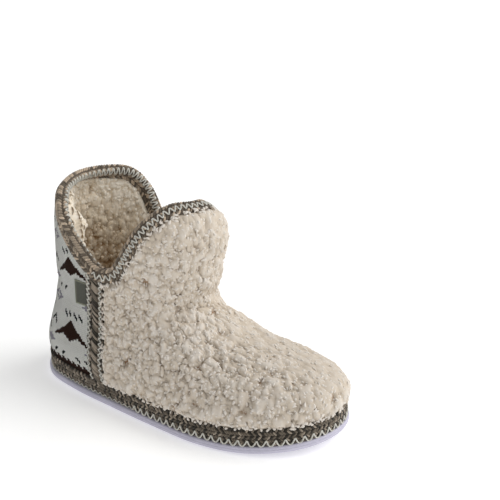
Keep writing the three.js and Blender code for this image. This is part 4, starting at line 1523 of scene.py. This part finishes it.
def across_sole(form, count, ways, inset, height):
    """A sheet from the sole's outer side to its inner side, the edge moved in by an inset, at
    shares of the way across. Returns its points and their distance from the nearer edge."""
    outer = np.linspace(0, TOE, count)
    edges = [sole_rings(form, side, [inset], [height]) for side in (outer, TURN - outer)]
    sheet = mix(*edges, ways[None, :, None])
    return sheet, np.minimum(*(np.linalg.norm(sheet - edge, axis=2) for edge in edges))


def make_footbed(context):
    """Fleece footbed, a soft pad that fills the bottom of the boot."""
    form, s, trim, c = boot(context)
    count, wide = FOOTBED_GRID
    ways = 0.5 - 0.5 * np.cos(np.linspace(0, 1, wide) * math.pi)
    inset = s.feather + s.cloth + FOOTBED_GAP
    top, room = across_sole(form, count, ways, inset, s.sole_thickness + s.clearance)
    flat = top.reshape(-1, 3)
    rim = ease(room, 0, FOOTBED_RIM).ravel()
    up = np.tile([0.0, 0.0, 1.0], (len(flat), 1))
    crowned = flat + up * ((trim.insole - CURL_ROOM) * (0.55 + 0.45 * rim))[:, None]
    cover = 0.35 * rim + 0.05
    points, height, _ = curled(crowned, up, cover, trim, FOOTBED_SEED, trim.lining_pile)
    points = np.concatenate([points, flat + up * HAIR / 2])
    quads = grid_faces(count, wide)
    line = np.arange(count) * wide
    walls = [side_wall(side, len(flat)) for side in (line, line[::-1] + wide - 1)]
    quads = np.concatenate([quads, quads[:, ::-1] + len(flat), *walls])
    piece = make_mesh("footbed_fleece", points, quads, [fleece_finish("footbed_curls", c, "lining")])
    note(piece, "height", np.concatenate([height, np.full(len(flat), 0.3)]))
    return seat(piece, "insole")


def side_wall(line, down):
    """Quads between a line of points and the same line further on in the list."""
    a, b = line[:-1], line[1:]
    return np.stack([a, b, b + down, a + down], 1)


def tread_ribs(x, y):
    """Raised ribs of the tread at places of the sole: circles that cross one another, 0 to 1."""
    pitch, radius, wide = 8.4 * MM, 4.2 * MM, 0.55 * MM
    ribs = np.zeros_like(x)
    turned = ((x + y) / math.sqrt(2), (x - y) / math.sqrt(2))
    for shift in (0.0, 0.5):
        u = np.mod(turned[0] / pitch + shift, 1) - 0.5
        v = np.mod(turned[1] / pitch + shift, 1) - 0.5
        for du, dv in ((0, 0), (1, 0), (0, 1), (-1, 0), (0, -1)):
            ring = np.abs(np.hypot(u - du * 0.5, v - dv * 0.5) * pitch - radius * 1.18)
            ribs = np.maximum(ribs, 1 - ease(ring, wide * 0.6, wide * 1.7))
    return ribs


def make_sole(context):
    """Rubber cup sole with a rounded edge, a grooved side and a sunk, ribbed tread."""
    form, s, _, c = boot(context)
    count, wide = SOLE_GRID
    r = s.sole_edge
    floor, rim = across_sole(form, count, np.linspace(0, 1, wide), r + HAIR, 0.0)
    x, y = floor[..., 0] - form.shift[0], floor[..., 1] - form.shift[1]
    room = np.minimum(rim, s.sole_length / 2 - r - np.abs(x)) + r - s.tread_rim
    shank = np.abs(x - s.shank_centre - s.shank_slant * y) - s.shank_length / 2
    field = ease(np.minimum(room, shank), 0.0, 0.7 * MM)
    line = 1 - ease(np.abs(shank + LINE_INSET), 0.15 * MM, 0.6 * MM)
    line = line * (room > 0.5 * MM) * (shank < 0)
    depth = s.tread_depth * field * (1 - RIB_HEIGHT * tread_ribs(x, y)) + LINE_DEPTH * line
    floor[..., 2] = form.spring(x) + depth
    corner = np.radians(np.arange(0, 91, CORNER_STEP))
    insets = np.concatenate([r * (1 - np.sin(corner)) + 0.15 * MM, SOLE_SIDE["inset"] * MM])
    rises = SOLE_SIDE["way"] * (s.sole_thickness - r)
    heights = np.concatenate([r * (1 - np.cos(corner)), r + rises])
    ring = np.linspace(0, TURN, 2 * (count - 1), endpoint=False)
    wall = sole_rings(form, ring, insets, heights)
    ways = np.linspace(0, 1, LID_COLUMNS)
    lid, _ = across_sole(form, count, ways, insets[-1], s.sole_thickness)
    points, quads, _ = merged(
        (floor.reshape(-1, 3), grid_faces(count, wide)[:, ::-1]),
        (wall.reshape(-1, 3), grid_faces(len(ring), len(insets), wrap_rows=True)),
        (lid.reshape(-1, 3), grid_faces(count, LID_COLUMNS)),
    )
    piece = make_mesh("rubber_sole", points, quads, [rubber_finish(c.rubber)])
    return seat(piece, "outsole")


# Stage


def make_stage(context):
    """Pale floor, soft window light and the camera at the photograph's angle."""
    scene, stage = context.scene, context.scene.boot_stage
    line = np.linspace(-FLOOR_HALF, FLOOR_HALF, FLOOR_POINTS)
    x, y = np.meshgrid(line, line, indexing="ij")
    points = np.stack([x, y, np.full_like(x, -0.2 * MM)], -1).reshape(-1, 3)
    paper = floor_finish(scene.boot_colours.floor)
    make_mesh("studio_floor", points, grid_faces(FLOOR_POINTS, FLOOR_POINTS), [paper])
    world = bpy.data.worlds.new("Studio")
    world.use_nodes = True
    sky = world.node_tree.nodes["Background"].inputs
    sky["Color"].default_value = (1, 1, 1, 1)
    sky["Strength"].default_value = SKY_LIGHT
    scene.world = world
    scene.view_settings.view_transform = "Standard"
    sun = bpy.data.lights.new("window", "SUN")
    sun.energy = SUN_LIGHT
    sun.angle = SUN_WIDTH
    window = bpy.data.objects.new("window", sun)
    a, e = stage.turn, stage.tilt
    right, ahead = Vector((math.cos(a), math.sin(a), 0)), Vector((-math.sin(a), math.cos(a), 0))
    aside, beyond, above = SUN_WAY
    way = right * aside + ahead * beyond + Vector((0, 0, above))
    window.rotation_euler = way.to_track_quat("Z", "Y").to_euler()
    scene.collection.objects.link(window)
    camera = bpy.data.cameras.new("photo_camera")
    camera.sensor_width = SENSOR
    camera.lens = stage.lens
    camera.clip_start = 0.05
    back = Vector((math.sin(a) * math.cos(e), -math.cos(a) * math.cos(e), math.sin(e)))
    eye = Vector(stage.target) + back * stage.distance
    seen = bpy.data.objects.new("photo_camera", camera)
    seen.matrix_world = Matrix.Translation(eye) @ back.to_track_quat("Z", "Y").to_matrix().to_4x4()
    scene.collection.objects.link(seen)
    scene.camera = seen


# Operators and panel


class BOOT_OT_stage(bpy.types.Operator):
    """Lay the floor, the lights and the photograph's camera"""

    bl_idname = "boot.stage"
    bl_label = "Stage"

    def execute(self, context):
        make_stage(context)
        return {"FINISHED"}


class BOOT_OT_sole(bpy.types.Operator):
    """Mould the rubber sole"""

    bl_idname = "boot.sole"
    bl_label = "Rubber sole"

    def execute(self, context):
        make_sole(context)
        return {"FINISHED"}


class BOOT_OT_footbed(bpy.types.Operator):
    """Lay the fleece footbed"""

    bl_idname = "boot.footbed"
    bl_label = "Footbed"

    def execute(self, context):
        make_footbed(context)
        return {"FINISHED"}


class BOOT_OT_lining(bpy.types.Operator):
    """Line the boot with fleece"""

    bl_idname = "boot.lining"
    bl_label = "Lining"

    def execute(self, context):
        make_lining(context)
        make_lining_locks(context)
        return {"FINISHED"}


class BOOT_OT_vamp(bpy.types.Operator):
    """Make the curly fleece vamp"""

    bl_idname = "boot.vamp"
    bl_label = "Fleece vamp"

    def execute(self, context):
        make_vamp(context)
        make_vamp_locks(context)
        return {"FINISHED"}


class BOOT_OT_knit(bpy.types.Operator):
    """Knit the back panel"""

    bl_idname = "boot.knit"
    bl_label = "Knitted back"

    def execute(self, context):
        make_knit(context)
        return {"FINISHED"}


class BOOT_OT_braids(bpy.types.Operator):
    """Braid the foot band, the seam bands and the collar's binding"""

    bl_idname = "boot.braids"
    bl_label = "Braids"

    def execute(self, context):
        make_foot_band(context)
        make_seam_bands(context)
        make_binding(context)
        return {"FINISHED"}


class BOOT_OT_tab(bpy.types.Operator):
    """Fold the side ribbon"""

    bl_idname = "boot.tab"
    bl_label = "Side ribbon"

    def execute(self, context):
        make_tab(context)
        return {"FINISHED"}


OPERATORS = (
    BOOT_OT_stage,
    BOOT_OT_sole,
    BOOT_OT_footbed,
    BOOT_OT_lining,
    BOOT_OT_vamp,
    BOOT_OT_knit,
    BOOT_OT_braids,
    BOOT_OT_tab,
)


class BOOT_PT_panel(bpy.types.Panel):
    """Lists the boot's pieces"""

    bl_label = "Fleece slipper boot"
    bl_idname = "BOOT_PT_panel"
    bl_space_type = "VIEW_3D"
    bl_region_type = "UI"
    bl_category = "Boot"

    def draw(self, context):
        for operator in OPERATORS:
            self.layout.operator(operator.bl_idname)
        for group in GROUPS:
            settings = getattr(context.scene, group)
            box = self.layout.box()
            for name in settings.__annotations__:
                box.prop(settings, name)


GROUPS = {
    "boot_sizes": BootSizes,
    "boot_trim": BootTrim,
    "boot_colours": BootColours,
    "boot_stage": BootStage,
}


def register():
    for made in (*GROUPS.values(), *OPERATORS, BOOT_PT_panel):
        bpy.utils.register_class(made)
    for name, group in GROUPS.items():
        setattr(bpy.types.Scene, name, PointerProperty(type=group))


def unregister():
    for name in GROUPS:
        delattr(bpy.types.Scene, name)
    for made in reversed((*GROUPS.values(), *OPERATORS, BOOT_PT_panel)):
        bpy.utils.unregister_class(made)


def main():
    register()
    for operator in OPERATORS:
        group, name = operator.bl_idname.split(".")
        getattr(getattr(bpy.ops, group), name)()


if __name__ == "__main__":
    main()
